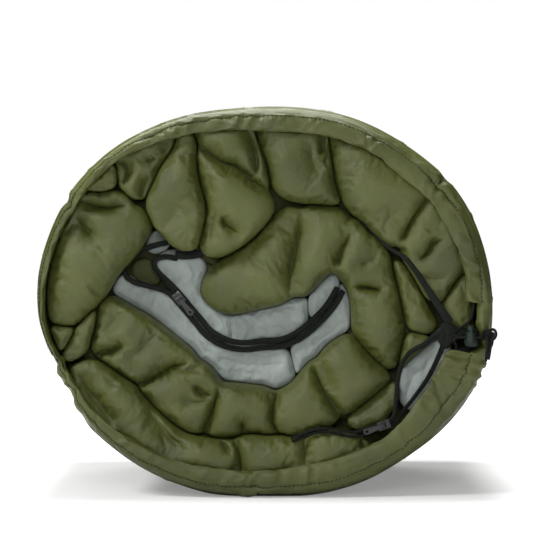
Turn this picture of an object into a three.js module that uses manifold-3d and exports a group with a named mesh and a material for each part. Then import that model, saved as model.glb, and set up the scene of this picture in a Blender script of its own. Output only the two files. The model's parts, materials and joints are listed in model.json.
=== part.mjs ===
// A quilted bivy sack, loosely rolled up and lying on its side, as an assembly of its separate pieces.
// Millimetres. The roll's axis is Y: its open end, with the drawcord hem, faces -Y. +Z is up.
// The origin is on the ground, under the middle of the roll.

import * as THREE from 'three';
import { mergeVertices } from 'three/addons/utils/BufferGeometryUtils.js';
import Module from 'manifold-3d';

const wasm = await Module();
wasm.setup();

// ---------------------------------------------------------------- driving dimensions

const FRONT = -200;            // front edge of the hem
const BACK = 200;              // rear edge of the outer shell
const HEM_BACK = -174;         // rear edge of the hem band
const SHELL_FRONT = -172;      // the outer shell begins just behind the hem
const BATTING_FRONT = -170;
const HEM_INSET = 3;           // how far the hem's outer side lies inside the roll's outline
const OUTSIDE = 270;           // an x beyond the right side of the roll
const SHELL_THICKNESS = 4;     // shell fabric with its seam allowance
const BATTING_DEPTH = 11;      // inner side of the batting, below the roll's outline
const CHAMBER_BACK = 186;      // rear end of the filled chambers
const LINING_BACK = -40;       // rear end of the lining that shows in the open end
const GAP = 0.6;               // clearance between neighbouring pieces
const WRAP_SPACING = 26;       // from point to point along the roll's outline and the hem's edge
const PAD_SPACING = 17;        // the same along a chamber's outline
const CHAIN_SPACING = 9;       // and along a zipper

const CORD_RADIUS = 1.6;
const CHANNEL_RADIUS = 3;      // the tunnel that the drawcord runs in
const HEM_GAP = { low: 165, high: 193, inner: 190 };   // where the cord leaves the hem

const TAPE_THICKNESS = 1.2;
const TAPE_NEAR = 1.2;         // zipper tape, from the middle of the chain to its inner edge
const TAPE_FAR = 7;            // and to its outer edge
const COIL_NEAR = 0.25;        // zipper coil, from the middle of the chain to its inner edge
const COIL_FAR = 2.4;          // and to its outer edge
const COIL_HEIGHT = 2;
const COIL_LIFT = 0.1;         // clearance between a coil and its tape
const INNER_ZIP_Y = -151;      // back of the inner zipper's tapes
const OUTER_ZIP_Y = -183;      // back of the outer zipper's tapes

const LOCK = new THREE.Vector3(227, -196, 177.3);      // where the cords cross the cord lock
const KNOT = new THREE.Vector3(247, -199, 175);        // the middle of the knot that ties the cord's ends
const KNOT_RADII = [8.5, 7, 11.5];
const KNOT_TAIL_RADIUS = 3;

// ---------------------------------------------------------------- outlines in the roll's end plane, [x, z]

// The roll as it lies: slightly wider than high, and flat where it rests.
const ROLL = [
  [-2, 431], [40, 430], [84, 423], [128, 406], [172, 378], [205, 349], [228, 315], [243, 276], [251, 240],
  [253, 207], [250, 168], [240, 135], [222, 102], [194, 70], [155, 41], [111, 16], [67, 3], [40, -1], [-2, -1],
  [-43, -1], [-81, 8], [-114, 20], [-147, 38], [-184, 67], [-207, 92], [-218, 118], [-230, 136], [-233, 154],
  [-246, 179], [-251, 212], [-250, 245], [-242, 278], [-230, 308], [-213, 339], [-191, 364], [-164, 387],
  [-125, 408], [-81, 423], [-43, 428],
];

// The inner edge of the drawcord hem.
const HEM_EDGE = [
  [-45, 404], [-4, 404], [34, 403], [73, 398], [117, 380], [151, 354], [178, 330], [200, 301], [213, 273],
  [222, 244], [220, 218], [219, 194], [205, 176], [198, 157], [184, 129], [168, 107], [152, 85], [130, 63],
  [108, 55], [82, 45], [40, 34], [-2, 30], [-41, 31], [-81, 38], [-125, 53], [-161, 75], [-185, 99], [-204, 124],
  [-218, 145], [-233, 169], [-240, 196], [-240, 223], [-235, 253], [-224, 286], [-210, 312], [-191, 339],
  [-165, 366], [-130, 383], [-87, 398],
];

// Filled chambers of the shell, from the outer wrap to the core. front is where each one's end stands.
// A chamber with tucked: true goes on behind the hem.
const CHAMBERS = {
  petal_left: { front: -190, tucked: true, outline: [
    [-84, 398], [-78, 396], [-76, 372], [-72, 342], [-63, 320], [-67, 299], [-74, 273], [-90, 276], [-108, 286],
    [-122, 305], [-128, 327], [-124, 343], [-111, 369]] },
  petal_right: { front: -190, outline: [
    [-74, 389], [-59, 380], [-45, 367], [-30, 361], [-9, 344], [6, 334], [9, 317], [-7, 294], [-31, 275],
    [-56, 267], [-72, 273], [-65, 299], [-61, 320], [-69, 342], [-74, 372]] },
  petal_back: { front: -184, tucked: true, outline: [
    [-75, 398], [-46, 404], [-16, 404], [-8, 383], [-9, 346], [-30, 364], [-45, 371], [-62, 384]] },
  pleat_top: { front: -180, tucked: true, outline: [[-14, 404], [-2, 380], [8, 337], [-6, 345], [-6, 383]] },
  outer_left: { front: -188, tucked: true, outline: [
    [-224, 284], [-209, 312], [-186, 318], [-161, 320], [-141, 321], [-129, 311], [-123, 295], [-138, 279],
    [-156, 262], [-167, 248], [-173, 229], [-185, 216], [-202, 194], [-221, 187], [-235, 193], [-240, 223],
    [-235, 253]] },
  pleat_left: { front: -180, tucked: true, outline: [
    [-204, 321], [-191, 331], [-176, 336], [-161, 338], [-147, 331], [-141, 323], [-161, 322], [-186, 320]] },
  tuck_left: { front: -184, tucked: true, outline: [
    [-194, 336], [-184, 350], [-163, 371], [-162, 355], [-163, 340], [-180, 337]] },
  outer_upper_left: { front: -183, tucked: true, outline: [
    [-160, 372], [-130, 383], [-87, 397], [-101, 381], [-114, 363], [-124, 343], [-129, 328], [-141, 328],
    [-158, 340]] },
  outer_top: { front: -184, tucked: true, outline: [
    [-11, 404], [28, 403], [64, 399], [73, 383], [76, 358], [77, 340], [90, 324], [76, 322], [54, 325],
    [30, 334], [10, 339], [0, 378]] },
  outer_upper_right: { front: -186, tucked: true, outline: [
    [67, 399], [89, 394], [117, 380], [151, 354], [178, 330], [167, 312], [158, 297], [153, 275], [134, 282],
    [120, 293], [98, 320], [79, 340], [78, 359], [75, 383]] },
  outer_right: { front: -182, tucked: true, outline: [
    [180, 328], [195, 310], [206, 292], [215, 271], [220, 255], [209, 235], [200, 218], [196, 206], [187, 219],
    [178, 234], [166, 253], [155, 268], [156, 284], [162, 297], [169, 312]] },
  pleat_right: { front: -180, tucked: true, outline: [
    [221, 252], [222, 234], [220, 218], [219, 195], [204, 195], [198, 205], [202, 218], [211, 235]] },
  fold_outer: { front: -185, tucked: true, outline: [
    [-239, 190], [-222, 185], [-206, 188], [-216, 173], [-226, 158], [-233, 169]] },
  fold_inner: { front: -182, outline: [
    [-185, 211], [-187, 190], [-196, 165], [-207, 155], [-223, 155], [-213, 173], [-202, 190]] },
  outer_lower_left: { front: -184, tucked: true, outline: [
    [-202, 145], [-184, 152], [-170, 139], [-155, 128], [-143, 121], [-129, 102], [-108, 82], [-88, 67],
    [-68, 61], [-47, 59], [-36, 65], [-28, 51], [-29, 32], [-41, 31], [-81, 38], [-125, 53], [-161, 75],
    [-185, 99], [-204, 124]] },
  outer_bottom: { front: -182, tucked: true, outline: [
    [-34, 66], [-24, 68], [-2, 66], [28, 62], [44, 66], [45, 36], [-2, 30], [-25, 31], [-24, 51]] },
  outer_bottom_right: { front: -176, tucked: true, outline: [
    [47, 67], [62, 70], [77, 70], [94, 65], [110, 61], [82, 46], [48, 36]] },
  middle_left: { front: -181, outline: [
    [-173, 223], [-150, 210], [-124, 196], [-97, 174], [-65, 148], [-89, 150], [-105, 143], [-124, 131],
    [-144, 125], [-156, 131], [-170, 142], [-184, 155], [-194, 162], [-185, 190], [-182, 212]] },
  middle_lower_left: { front: -180, outline: [
    [-143, 123], [-124, 129], [-103, 141], [-88, 147], [-63, 146], [-46, 127], [-57, 110], [-61, 90],
    [-67, 66], [-88, 70], [-108, 86], [-127, 105]] },
  middle_bottom_left: { front: -178, outline: [
    [-44, 125], [-22, 121], [14, 119], [9, 103], [6, 88], [11, 75], [18, 66], [-3, 69], [-24, 72], [-37, 69],
    [-47, 63], [-65, 65], [-62, 75], [-58, 90], [-55, 109]] },
  middle_bottom: { front: -180, outline: [
    [57, 155], [59, 147], [67, 127], [76, 103], [87, 84], [75, 78], [48, 74], [32, 65], [21, 66], [13, 76],
    [8, 88], [11, 101], [16, 118], [36, 120], [45, 142]] },
  middle_lower_right: { front: -180, outline: [
    [98, 180], [106, 167], [123, 146], [144, 131], [128, 116], [107, 100], [89, 86], [78, 103], [69, 127],
    [61, 150], [69, 165], [86, 177]] },
  middle_right: { front: -180, outline: [
    [96, 312], [114, 295], [134, 270], [142, 253], [151, 218], [155, 189], [152, 164], [147, 142], [143, 135],
    [124, 150], [107, 170], [99, 184], [97, 202], [95, 227], [86, 244], [79, 251], [86, 270], [96, 288]] },
  flap_right: { front: -170, outline: [
    [140, 264], [152, 254], [160, 242], [167, 223], [180, 202], [191, 184], [175, 178], [160, 186], [154, 207],
    [152, 222], [145, 241]] },
  flap_lower_right: { front: -172, outline: [
    [158, 183], [175, 175], [189, 176], [178, 168], [162, 161], [154, 151], [150, 138], [154, 161]] },
  flap_bottom_right: { front: -174, outline: [
    [145, 130], [146, 114], [142, 96], [131, 87], [117, 79], [102, 75], [88, 78], [108, 98], [129, 113]] },
  core_left: { front: -176, outline: [
    [-75, 227], [-61, 245], [-32, 266], [-3, 289], [22, 316], [40, 321], [38, 308], [33, 273], [29, 240],
    [29, 215], [-2, 208], [-29, 201], [-41, 198], [-59, 208]] },
  core_right: { front: -176, outline: [
    [42, 322], [68, 320], [92, 314], [94, 290], [84, 271], [77, 251], [66, 240], [46, 220], [31, 216],
    [32, 240], [36, 273], [42, 308]] },
};

// The lining that shows where the bag's inside is turned towards its open end.
const LININGS = {
  lining_lower: { front: -147, outline: [
    [-169, 227], [-167, 243], [-156, 235], [-125, 227], [-111, 218], [-97, 200], [-81, 186], [-63, 172],
    [-37, 160], [-7, 157], [18, 156], [30, 150], [34, 122], [15, 121], [-15, 123], [-44, 129], [-64, 151],
    [-97, 177], [-124, 199]] },
  lining_upper: { front: -147, outline: [
    [-120, 260], [-98, 265], [-81, 265], [-67, 243], [-76, 228], [-61, 206], [-41, 196], [-29, 199], [-2, 206],
    [29, 212], [44, 217], [52, 222], [43, 196], [29, 182], [-1, 177], [-26, 174], [-48, 179], [-67, 198],
    [-81, 219], [-95, 237], [-111, 248]] },
  lining_fold: { front: -147, outline: [
    [55, 227], [64, 239], [77, 249], [84, 240], [81, 228], [69, 216], [57, 204], [46, 196]] },
  lining_right: { front: -147, outline: [
    [86, 241], [95, 223], [96, 202], [96, 186], [84, 178], [67, 167], [52, 157], [43, 145], [36, 124],
    [34, 141], [38, 163], [53, 177], [69, 190], [85, 207], [89, 227]] },
  lining_corner: { front: -150, outline: [
    [-121, 297], [-117, 290], [-107, 283], [-101, 280], [-118, 278], [-134, 274]] },
  lining_opening: { front: -165, outline: [
    [195, 170], [195, 161], [185, 144], [172, 129], [166, 116], [158, 105], [152, 99], [157, 114], [162, 142],
    [176, 154], [189, 165]] },
};

// The shell side seen through the open stretch of the inner zipper.
const SHELL_PANEL = [[-143, 254], [-130, 258], [-125, 249], [-117, 235], [-128, 234], [-143, 240]];

// The innermost turn of the roll, behind the lining.
const INNER_ROLL = [
  [-167, 243], [-150, 275], [-120, 300], [-88, 295], [-60, 285], [-20, 270], [30, 255], [77, 251], [95, 223],
  [96, 186], [52, 157], [36, 122], [-44, 129], [-97, 177], [-124, 199], [-169, 227],
];

// Each slider sits at one end of a straight stretch of its chain, and can run along it by its travel.
// The rest of the closed chain follows, and the open stretches of both halves come before the slider.
const INNER_ZIP = {
  y: INNER_ZIP_Y,
  at: [-95, 218.5],
  straightTo: [-62, 179.5],
  closed: [[-41, 168], [-23, 165], [-4, 167], [20, 169], [37, 176], [56, 191], [73, 209], [85, 229]],
  openUpper: [[-95, 266], [-109, 269], [-121, 266], [-127, 260], [-125, 251], [-119, 243]],
  openLower: [[-106, 277], [-123, 273], [-139, 266], [-150, 256], [-153, 248], [-146, 241], [-132, 237]],
};
const OUTER_ZIP = {
  y: OUTER_ZIP_Y,
  at: [132, 80],
  straightTo: [103, 69.5],
  closed: [[86, 71], [73, 74], [56, 73], [40, 67], [30, 63]],
  openUpper: [[198, 181], [191, 162], [178, 134], [162, 111], [151, 97]],
  openLower: [[198, 183], [179, 166], [162, 157], [154, 143], [150, 124], [148, 105]],
};
const OUTER_TAPE_TOP = [
  [105, 305], [117, 293], [136, 273], [152, 263], [163, 249], [176, 228], [190, 206], [200, 190],
];
const SLIDER_REACH = [13, 8.5];   // the chain is closed this far behind a slider's middle, and straight from here

const COLOURS = {
  shell: 0x5b6138, lining: 0x8a918c, black: 0x171b16, lock: 0x1f2a22, steel: 0x8c8f90, fill: 0xe6e4dc,
};

// ---------------------------------------------------------------- outlines to solids

const centre = new THREE.Vector2(0, 215);

function through(points, closed) {
  return new THREE.CatmullRomCurve3(points.map(([x, z]) => new THREE.Vector3(x, z, 0)), closed, 'centripetal');
}

function smooth(points, spacing) {
  const curve = through(points, true);
  const count = Math.max(12, Math.round(curve.getLength() / spacing));
  return curve.getSpacedPoints(count).slice(0, count).map((p) => [p.x, Math.max(p.y, 0)]);
}

function smoothOpen(points, spacing) {
  const curve = through(points, false);
  return curve.getSpacedPoints(Math.round(curve.getLength() / spacing)).map((p) => [p.x, p.y]);
}

function area(outline) {
  return THREE.ShapeUtils.area(outline.map(([x, z]) => new THREE.Vector2(x, z)));
}

// Moves a closed outline outwards by distance, or inwards if it is negative.
function offset(outline, distance) {
  const sign = area(outline) > 0 ? 1 : -1;
  return outline.map(([x, z], i) => {
    const [ax, az] = outline[(i + outline.length - 1) % outline.length];
    const [bx, bz] = outline[(i + 1) % outline.length];
    const length = Math.hypot(bx - ax, bz - az);
    return [x + sign * distance * (bz - az) / length, z - sign * distance * (bx - ax) / length];
  });
}

// The distance from the roll's centre to an outline, at an angle.
function reach(outline, angle) {
  const direction = [Math.cos(angle), Math.sin(angle)];
  let best = 0;
  outline.forEach(([ax, az], i) => {
    const [bx, bz] = outline[(i + 1) % outline.length];
    const [ex, ez] = [bx - ax, bz - az];
    const [px, pz] = [ax - centre.x, az - centre.y];
    const cross = direction[0] * ez - direction[1] * ex;
    const along = (px * ez - pz * ex) / cross;
    const share = (px * direction[1] - pz * direction[0]) / cross;
    if (along > 0 && share >= 0 && share <= 1) best = Math.max(best, along);
  });
  return best;
}

function solid(geometry) {
  const bare = geometry.index ? geometry.toNonIndexed() : geometry.clone();
  for (const name of Object.keys(bare.attributes)) {
    if (name !== 'position') bare.deleteAttribute(name);
  }
  const merged = mergeVertices(bare, 1e-4);
  const triVerts = new Uint32Array(merged.index.array);
  const vertProperties = merged.attributes.position.array;
  return new wasm.Manifold(new wasm.Mesh({ numProp: 3, vertProperties, triVerts }));
}

function geometryOf(body) {
  const mesh = body.getMesh();
  const geometry = new THREE.BufferGeometry();
  geometry.setAttribute('position', new THREE.BufferAttribute(new Float32Array(mesh.vertProperties), 3));
  geometry.setIndex(new THREE.BufferAttribute(new Uint32Array(mesh.triVerts), 1));
  return geometry;
}

// An outline in the end plane, carried from y = front to y = back.
function prism(outline, front, back) {
  const shape = new THREE.Shape(outline.map(([x, z]) => new THREE.Vector2(x, z)));
  const geometry = new THREE.ExtrudeGeometry(shape, { depth: back - front, bevelEnabled: false });
  geometry.rotateX(Math.PI / 2);
  geometry.translate(0, back, 0);
  return solid(geometry);
}

function ring(outer, inner, front, back) {
  return prism(outer, front, back).subtract(prism(inner, front - 1, back + 1));
}

function box(low, high) {
  const size = high.clone().sub(low);
  const geometry = new THREE.BoxGeometry(size.x, size.y, size.z);
  geometry.translate(...low.clone().add(high).multiplyScalar(0.5).toArray());
  return solid(geometry);
}

function tube(points, radius, steps, sides) {
  const path = new THREE.CatmullRomCurve3(points, false, 'centripetal');
  const section = new THREE.Shape();
  section.absarc(0, 0, radius, 0, Math.PI * 2);
  const options = { extrudePath: path, steps, bevelEnabled: false, curveSegments: sides };
  return solid(new THREE.ExtrudeGeometry(section, options));
}

// A strip along a path, between two signed distances to its left. Each distance may change along the path.
function strip(path, near, far, front, back) {
  const at = (value, share) => (Array.isArray(value) ? value[0] + (value[1] - value[0]) * share : value);
  const side = (distance) => path.map(([x, z], i) => {
    const [ax, az] = path[Math.max(i - 1, 0)];
    const [bx, bz] = path[Math.min(i + 1, path.length - 1)];
    const length = Math.hypot(bx - ax, bz - az);
    const d = at(distance, i / (path.length - 1));
    return [x - d * (bz - az) / length, z + d * (bx - ax) / length];
  });
  return prism([...side(near), ...side(far).reverse()], front, back);
}

// ---------------------------------------------------------------- assembly

const bivy = new THREE.Group();

function add(name, body, colour, roughness = 0.55, metalness = 0) {
  const material = new THREE.MeshStandardMaterial({ color: COLOURS[colour], roughness, metalness });
  const mesh = new THREE.Mesh(geometryOf(body), material);
  mesh.name = name;
  bivy.add(mesh);
  return body;
}

// The largest separate body, for a cut that leaves crumbs behind.
function largest(body) {
  return body.decompose().sort((a, b) => b.volume() - a.volume())[0];
}

const placed = [];   // envelopes that later pieces keep clear of

function clear(body) {
  return largest(placed.reduce((rest, envelope) => rest.subtract(envelope), body));
}

// The outer wrap: shell fabric, the batting under it and the hem at its open end.
const rollOutline = smooth(ROLL, WRAP_SPACING);
const hemEdge = smooth(HEM_EDGE, WRAP_SPACING);

function outerWrap() {
  const shellInner = offset(rollOutline, -SHELL_THICKNESS);
  add('outer_shell', ring(rollOutline, shellInner, SHELL_FRONT, BACK), 'shell');
  const battingOuter = offset(rollOutline, -SHELL_THICKNESS - GAP);
  const battingInner = offset(rollOutline, -BATTING_DEPTH);
  add('outer_batting', ring(battingOuter, battingInner, BATTING_FRONT, CHAMBER_BACK), 'fill', 0.95);
}

// The drawcord's course inside the hem, from the gap's upper side round to its lower side. It runs in the
// middle of the band and comes nearer to the hem's inner edge where it leaves the band.
function hemCourse() {
  const outer = offset(rollOutline, -HEM_INSET);
  const angleOf = (z) => Math.atan2(z - centre.y, 225);
  const [start, end] = [angleOf(HEM_GAP.high + 4), angleOf(HEM_GAP.low - 4) + Math.PI * 2];
  const steps = 56;
  const y = (FRONT + HEM_BACK) / 2;
  const points = Array.from({ length: steps + 1 }, (_, i) => {
    const angle = start + (end - start) * i / steps;
    const inner = reach(hemEdge, angle);
    const share = 0.5 - 0.22 * Math.max(0, 1 - Math.min(i, steps - i) / 2);
    const r = inner + (reach(outer, angle) - inner) * share;
    return new THREE.Vector3(centre.x + r * Math.cos(angle), y, centre.y + r * Math.sin(angle));
  });
  const outlet = (point, z) => new THREE.Vector3(point.x - 1, y, z);
  return [outlet(points[0], HEM_GAP.high - 3), ...points, outlet(points[steps], HEM_GAP.low + 3)];
}

// One strand of the drawcord outside the hem: from its outlet, round to the lock and on to the knot.
function strand(outlet, side) {
  const y = LOCK.y + side * (CORD_RADIUS + 0.2);
  const turn = outlet.z > LOCK.z ? 1 : -1;
  return [
    new THREE.Vector3(outlet.x, outlet.y, outlet.z + turn * 3),
    outlet,
    new THREE.Vector3(LOCK.x - 13, outlet.y - 2, LOCK.z + turn * 7.5),
    new THREE.Vector3(LOCK.x - 17.5, y + 2, LOCK.z + turn * 3),
    new THREE.Vector3(LOCK.x - 13.5, y, LOCK.z),
    new THREE.Vector3(LOCK.x, y, LOCK.z),
    new THREE.Vector3(KNOT.x - 9.4, y, LOCK.z),
  ];
}

function hemAndCord() {
  const course = hemCourse();
  const channel = tube(course, CHANNEL_RADIUS, 60, 4);
  const gap = box(new THREE.Vector3(HEM_GAP.inner, FRONT - 5, HEM_GAP.low),
    new THREE.Vector3(OUTSIDE, HEM_BACK + 1, HEM_GAP.high));
  const band = ring(offset(rollOutline, -HEM_INSET), hemEdge, FRONT, HEM_BACK);
  add('drawcord_hem', largest(band.subtract(channel).subtract(gap)), 'shell');
  placed.push(ring(offset(rollOutline, 10), offset(hemEdge, -GAP), FRONT - 10, HEM_BACK + GAP));

  const cord = tube(course, CORD_RADIUS, 60, 3)
    .add(tube(strand(course[0], -1), CORD_RADIUS, 22, 3))
    .add(tube(strand(course[course.length - 1], 1), CORD_RADIUS, 22, 3));
  add('drawcord', cord, 'black', 0.8);
}

// The cord lock: a bell-shaped barrel, a spring and a plunger that pinches both strands.
const LOCK_FLOOR = LOCK.z - 10.3;
const BORE_RADIUS = 4.9;
const PLUNGER_RADIUS = 4.5;
const SLOT_WIDTH = 7.6;

function lathe(profile, segments) {
  const geometry = new THREE.LatheGeometry(profile.map(([r, z]) => new THREE.Vector2(r, z)), segments);
  geometry.rotateX(Math.PI / 2);
  return solid(geometry);
}

function slot(low, high, length) {
  return box(new THREE.Vector3(-length, -SLOT_WIDTH / 2, low), new THREE.Vector3(length, SLOT_WIDTH / 2, high));
}

function cordLock() {
  const barrel = lathe([
    [0, -10.3], [5.4, -10.3], [7, -8.6], [7.7, -5.8], [7.4, -2.5], [6.4, 1.6], [6, 5.6], [BORE_RADIUS, 5.6],
    [BORE_RADIUS, -8.9], [0, -8.9]], 28).subtract(slot(-2, 2, 12));
  const plunger = lathe([
    [0, -3.8], [PLUNGER_RADIUS, -3.8], [PLUNGER_RADIUS, 11], [3.6, 12.4], [0, 12.9]], 24)
    .subtract(slot(-2, 6.2, 12));
  add('cord_lock_barrel', barrel.translate(LOCK.x, LOCK.y, LOCK.z), 'lock', 0.45);
  add('cord_lock_plunger', plunger.translate(LOCK.x, LOCK.y, LOCK.z), 'lock', 0.45);

  const [turns, wire, radius, length] = [3, 0.35, 3.2, 4.7];
  const coil = Array.from({ length: turns * 12 + 1 }, (_, i) => {
    const angle = i * Math.PI / 6;
    return new THREE.Vector3(LOCK.x + radius * Math.cos(angle), LOCK.y + radius * Math.sin(angle),
      LOCK_FLOOR + 1.4 + wire + 0.1 + (length - 2 * wire) * i / (turns * 12));
  });
  add('cord_lock_spring', tube(coil, wire, turns * 14, 2), 'steel', 0.3, 1);

  const knot = new THREE.SphereGeometry(1, 16, 12);
  knot.scale(...KNOT_RADII);
  knot.translate(KNOT.x, KNOT.y, KNOT.z);
  const tails = tube([
    KNOT.clone(),
    new THREE.Vector3(KNOT.x - 1, FRONT - 5, HEM_GAP.low - 1),
    new THREE.Vector3(KNOT.x - 2.5, FRONT - 4.5, HEM_GAP.low - 15),
  ], KNOT_TAIL_RADIUS, 8, 5);
  const hemBelow = box(new THREE.Vector3(HEM_GAP.inner, FRONT - GAP, 100),
    new THREE.Vector3(OUTSIDE, HEM_BACK, HEM_GAP.low + GAP));
  add('cord_knot', solid(knot).add(tails).subtract(hemBelow), 'black', 0.8);
}

// Keeps the points of a tucked outline that lie on the hem's edge, and carries them on behind the hem.
function tuck(outline) {
  const limit = offset(rollOutline, -BATTING_DEPTH - GAP);
  return outline.map(([x, z]) => {
    const angle = Math.atan2(z - centre.y, x - centre.x);
    const distance = Math.hypot(x - centre.x, z - centre.y);
    if (distance < reach(hemEdge, angle) - 3) return [x, z];
    const r = reach(limit, angle);
    return [centre.x + r * Math.cos(angle), centre.y + r * Math.sin(angle)];
  });
}

// A filled chamber or a stretch of lining. The pieces placed before it are kept clear of.
function pad(name, { front, outline, tucked }, back, colour) {
  const section = smooth(outline, PAD_SPACING);
  const rounded = tucked ? tuck(section) : section;
  const inside = prism(offset(rollOutline, -BATTING_DEPTH - GAP), FRONT - 10, BACK + 10);
  add(name, clear(prism(rounded, front, back).intersect(inside)), colour);
  placed.push(prism(offset(rounded, GAP), front - GAP, back + GAP));
}

// The unit direction in which a slider runs along its chain.
function chainDirection({ at, straightTo }) {
  return new THREE.Vector2(straightTo[0] - at[0], straightTo[1] - at[1]).normalize();
}

// One half's path: its open stretch, then straight through the slider, then the closed chain.
function zipPath(zip, open) {
  const along = chainDirection(zip);
  const behind = SLIDER_REACH.map((d) => [zip.at[0] - along.x * d, zip.at[1] - along.y * d]);
  const [from, to] = [new THREE.Vector2(...zip.at), new THREE.Vector2(...zip.straightTo)];
  const straight = [0, 0.25, 0.5, 0.75, 1].map((t) => from.clone().lerp(to, t).toArray());
  return smoothOpen([...open, ...behind, ...straight, ...zip.closed], CHAIN_SPACING);
}

// A zipper: two tapes and two coils. Each half follows its own edge where the zipper is open.
function zipper(name, zip, tapeFar) {
  const front = zip.y - TAPE_THICKNESS;
  const post = sliderPost().transform(onChain(zip).elements);
  for (const [half, open, sign] of [['upper', zip.openUpper, 1], ['lower', zip.openLower, -1]]) {
    const path = zipPath(zip, open);
    const far = tapeFar.map((d) => d * sign);
    add(`${name}_tape_${half}`, clear(strip(path, sign * TAPE_NEAR, far, front, zip.y)), 'black', 0.8);
    const coilBack = front - COIL_LIFT;
    const coil = strip(path, sign * COIL_NEAR, sign * COIL_FAR, coilBack - COIL_HEIGHT, coilBack);
    add(`${name}_coil_${half}`, clear(coil.subtract(post)), 'black', 0.5);
  }
}

// A slider in its own frame: x along the chain, y across it, z out of the tape. The tape's back is at z = 0.
// half is its half length, width its half width. Two plates, joined by a post at the open end and with a rail
// along each side, hold the chain. Two horns on the front plate carry the bar that the pull tab swings on.
const SLIDER = {
  half: 7, width: 4.8, plate: 1.4, below: -0.5, above: 3.8,
  postFrom: 0.8, postTo: 3.2, postHalfWidth: 0.7,
  railInside: 3.3, railBottom: 1.9,
  hornInside: 2.9, hornOutside: 4, hornHalfLength: 2.2, hornAbove: 1.5,
  barZ: 7.6, barRadius: 0.8, barLength: 6.4,
};
const SINK = 0.1;              // how far joined parts of one casting reach into each other

function sliderBody() {
  const { half, width, plate, below, above, barZ } = SLIDER;
  const v = (x, y, z) => new THREE.Vector3(x, y, z);
  const between = (side, inside, outside) => [side * inside, side * outside].sort((m, n) => m - n);
  let body = box(v(-half, -width, below - plate), v(half, width, below));
  body = body.add(box(v(-half, -width, above), v(half, width, above + plate)));
  const [postFrom, postTo, postSide] = [-half + SLIDER.postFrom, -half + SLIDER.postTo, SLIDER.postHalfWidth];
  body = body.add(box(v(postFrom, -postSide, below - SINK), v(postTo, postSide, above + SINK)));
  for (const side of [-1, 1]) {
    const [a, b] = between(side, SLIDER.railInside, width);
    body = body.add(box(v(-half, a, SLIDER.railBottom), v(half, b, above + SINK)));
    const [c, d] = between(side, SLIDER.hornInside, SLIDER.hornOutside);
    const long = SLIDER.hornHalfLength;
    body = body.add(box(v(-long, c, above + plate - SINK), v(long, d, barZ + SLIDER.hornAbove)));
  }
  const bar = new THREE.CylinderGeometry(SLIDER.barRadius, SLIDER.barRadius, SLIDER.barLength, 12);
  bar.translate(0, 0, barZ);
  return body.add(solid(bar));
}

// The room that the slider's post needs between the two coils.
function sliderPost() {
  const { half, below, above } = SLIDER;
  return box(new THREE.Vector3(-half + 0.4, -1, below), new THREE.Vector3(-half + 3.6, 1, above));
}

function pullTab() {
  const { barZ } = SLIDER;
  const eye = new THREE.CylinderGeometry(2.1, 2.1, 4.6, 20);
  eye.translate(0, 0, barZ);
  const plate = box(new THREE.Vector3(1, -2.3, barZ - 0.7), new THREE.Vector3(6, 2.3, barZ + 0.7));
  const grip = new THREE.Shape();
  grip.moveTo(4.5, -2.3);
  grip.lineTo(20.5, -3.5);
  grip.absarc(20.5, 0, 3.5, -Math.PI / 2, Math.PI / 2, false);
  grip.lineTo(4.5, 2.3);
  const hole = new THREE.Path();
  hole.absarc(20, 0, 1.6, 0, Math.PI * 2, true);
  grip.holes.push(hole);
  const gripGeometry = new THREE.ExtrudeGeometry(grip, { depth: 1.4, bevelEnabled: false, curveSegments: 8 });
  gripGeometry.translate(0, 0, barZ - 0.7);
  const bore = new THREE.CylinderGeometry(1.2, 1.2, 8, 20);
  bore.translate(0, 0, barZ);
  return solid(eye).add(plate).add(solid(gripGeometry)).subtract(solid(bore));
}

// Carries a slider's own frame to its place on the chain. The slider faces -Y.
function onChain(zip) {
  const direction = chainDirection(zip);
  const along = new THREE.Vector3(direction.x, 0, direction.y);
  const out = new THREE.Vector3(0, -1, 0);
  const across = out.clone().cross(along);
  return new THREE.Matrix4().makeBasis(along, across, out).setPosition(zip.at[0], zip.y, zip.at[1]);
}

function zippers() {
  zipper('inner_zip', INNER_ZIP, [TAPE_FAR, TAPE_FAR]);
  zipper('outer_zip', OUTER_ZIP, [TAPE_FAR, 2.4]);
  const topPath = smoothOpen(OUTER_TAPE_TOP, CHAIN_SPACING);
  const top = strip(topPath, 0.6, [2.4, 10], OUTER_ZIP_Y - TAPE_THICKNESS, OUTER_ZIP_Y);
  add('outer_zip_tape_top', clear(top), 'black', 0.8);
  for (const [name, zip] of [['inner_zip', INNER_ZIP], ['outer_zip', OUTER_ZIP]]) {
    const place = onChain(zip).elements;
    add(`${name}_slider`, sliderBody().transform(place), 'black', 0.4, 0.6);
    add(`${name}_pull`, pullTab().transform(place), 'black', 0.4, 0.6);
  }
}

outerWrap();
hemAndCord();
cordLock();
for (const [name, chamber] of Object.entries(CHAMBERS)) pad(`chamber_${name}`, chamber, CHAMBER_BACK, 'shell');
for (const [name, lining] of Object.entries(LININGS)) pad(name, lining, LINING_BACK, 'lining');
pad('shell_panel_inner', { front: -138, outline: SHELL_PANEL }, LINING_BACK, 'shell');
pad('inner_roll', { front: LINING_BACK + 4, outline: INNER_ROLL }, CHAMBER_BACK - 6, 'shell');
zippers();

export default bivy;
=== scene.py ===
"""The looks of a padded, quilted bivy sack, rolled up loosely. Metres, +Z up, its open end at -Y."""
import json
import math
from itertools import product

import bmesh
import bpy
import numpy as np
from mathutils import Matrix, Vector, geometry

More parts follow.
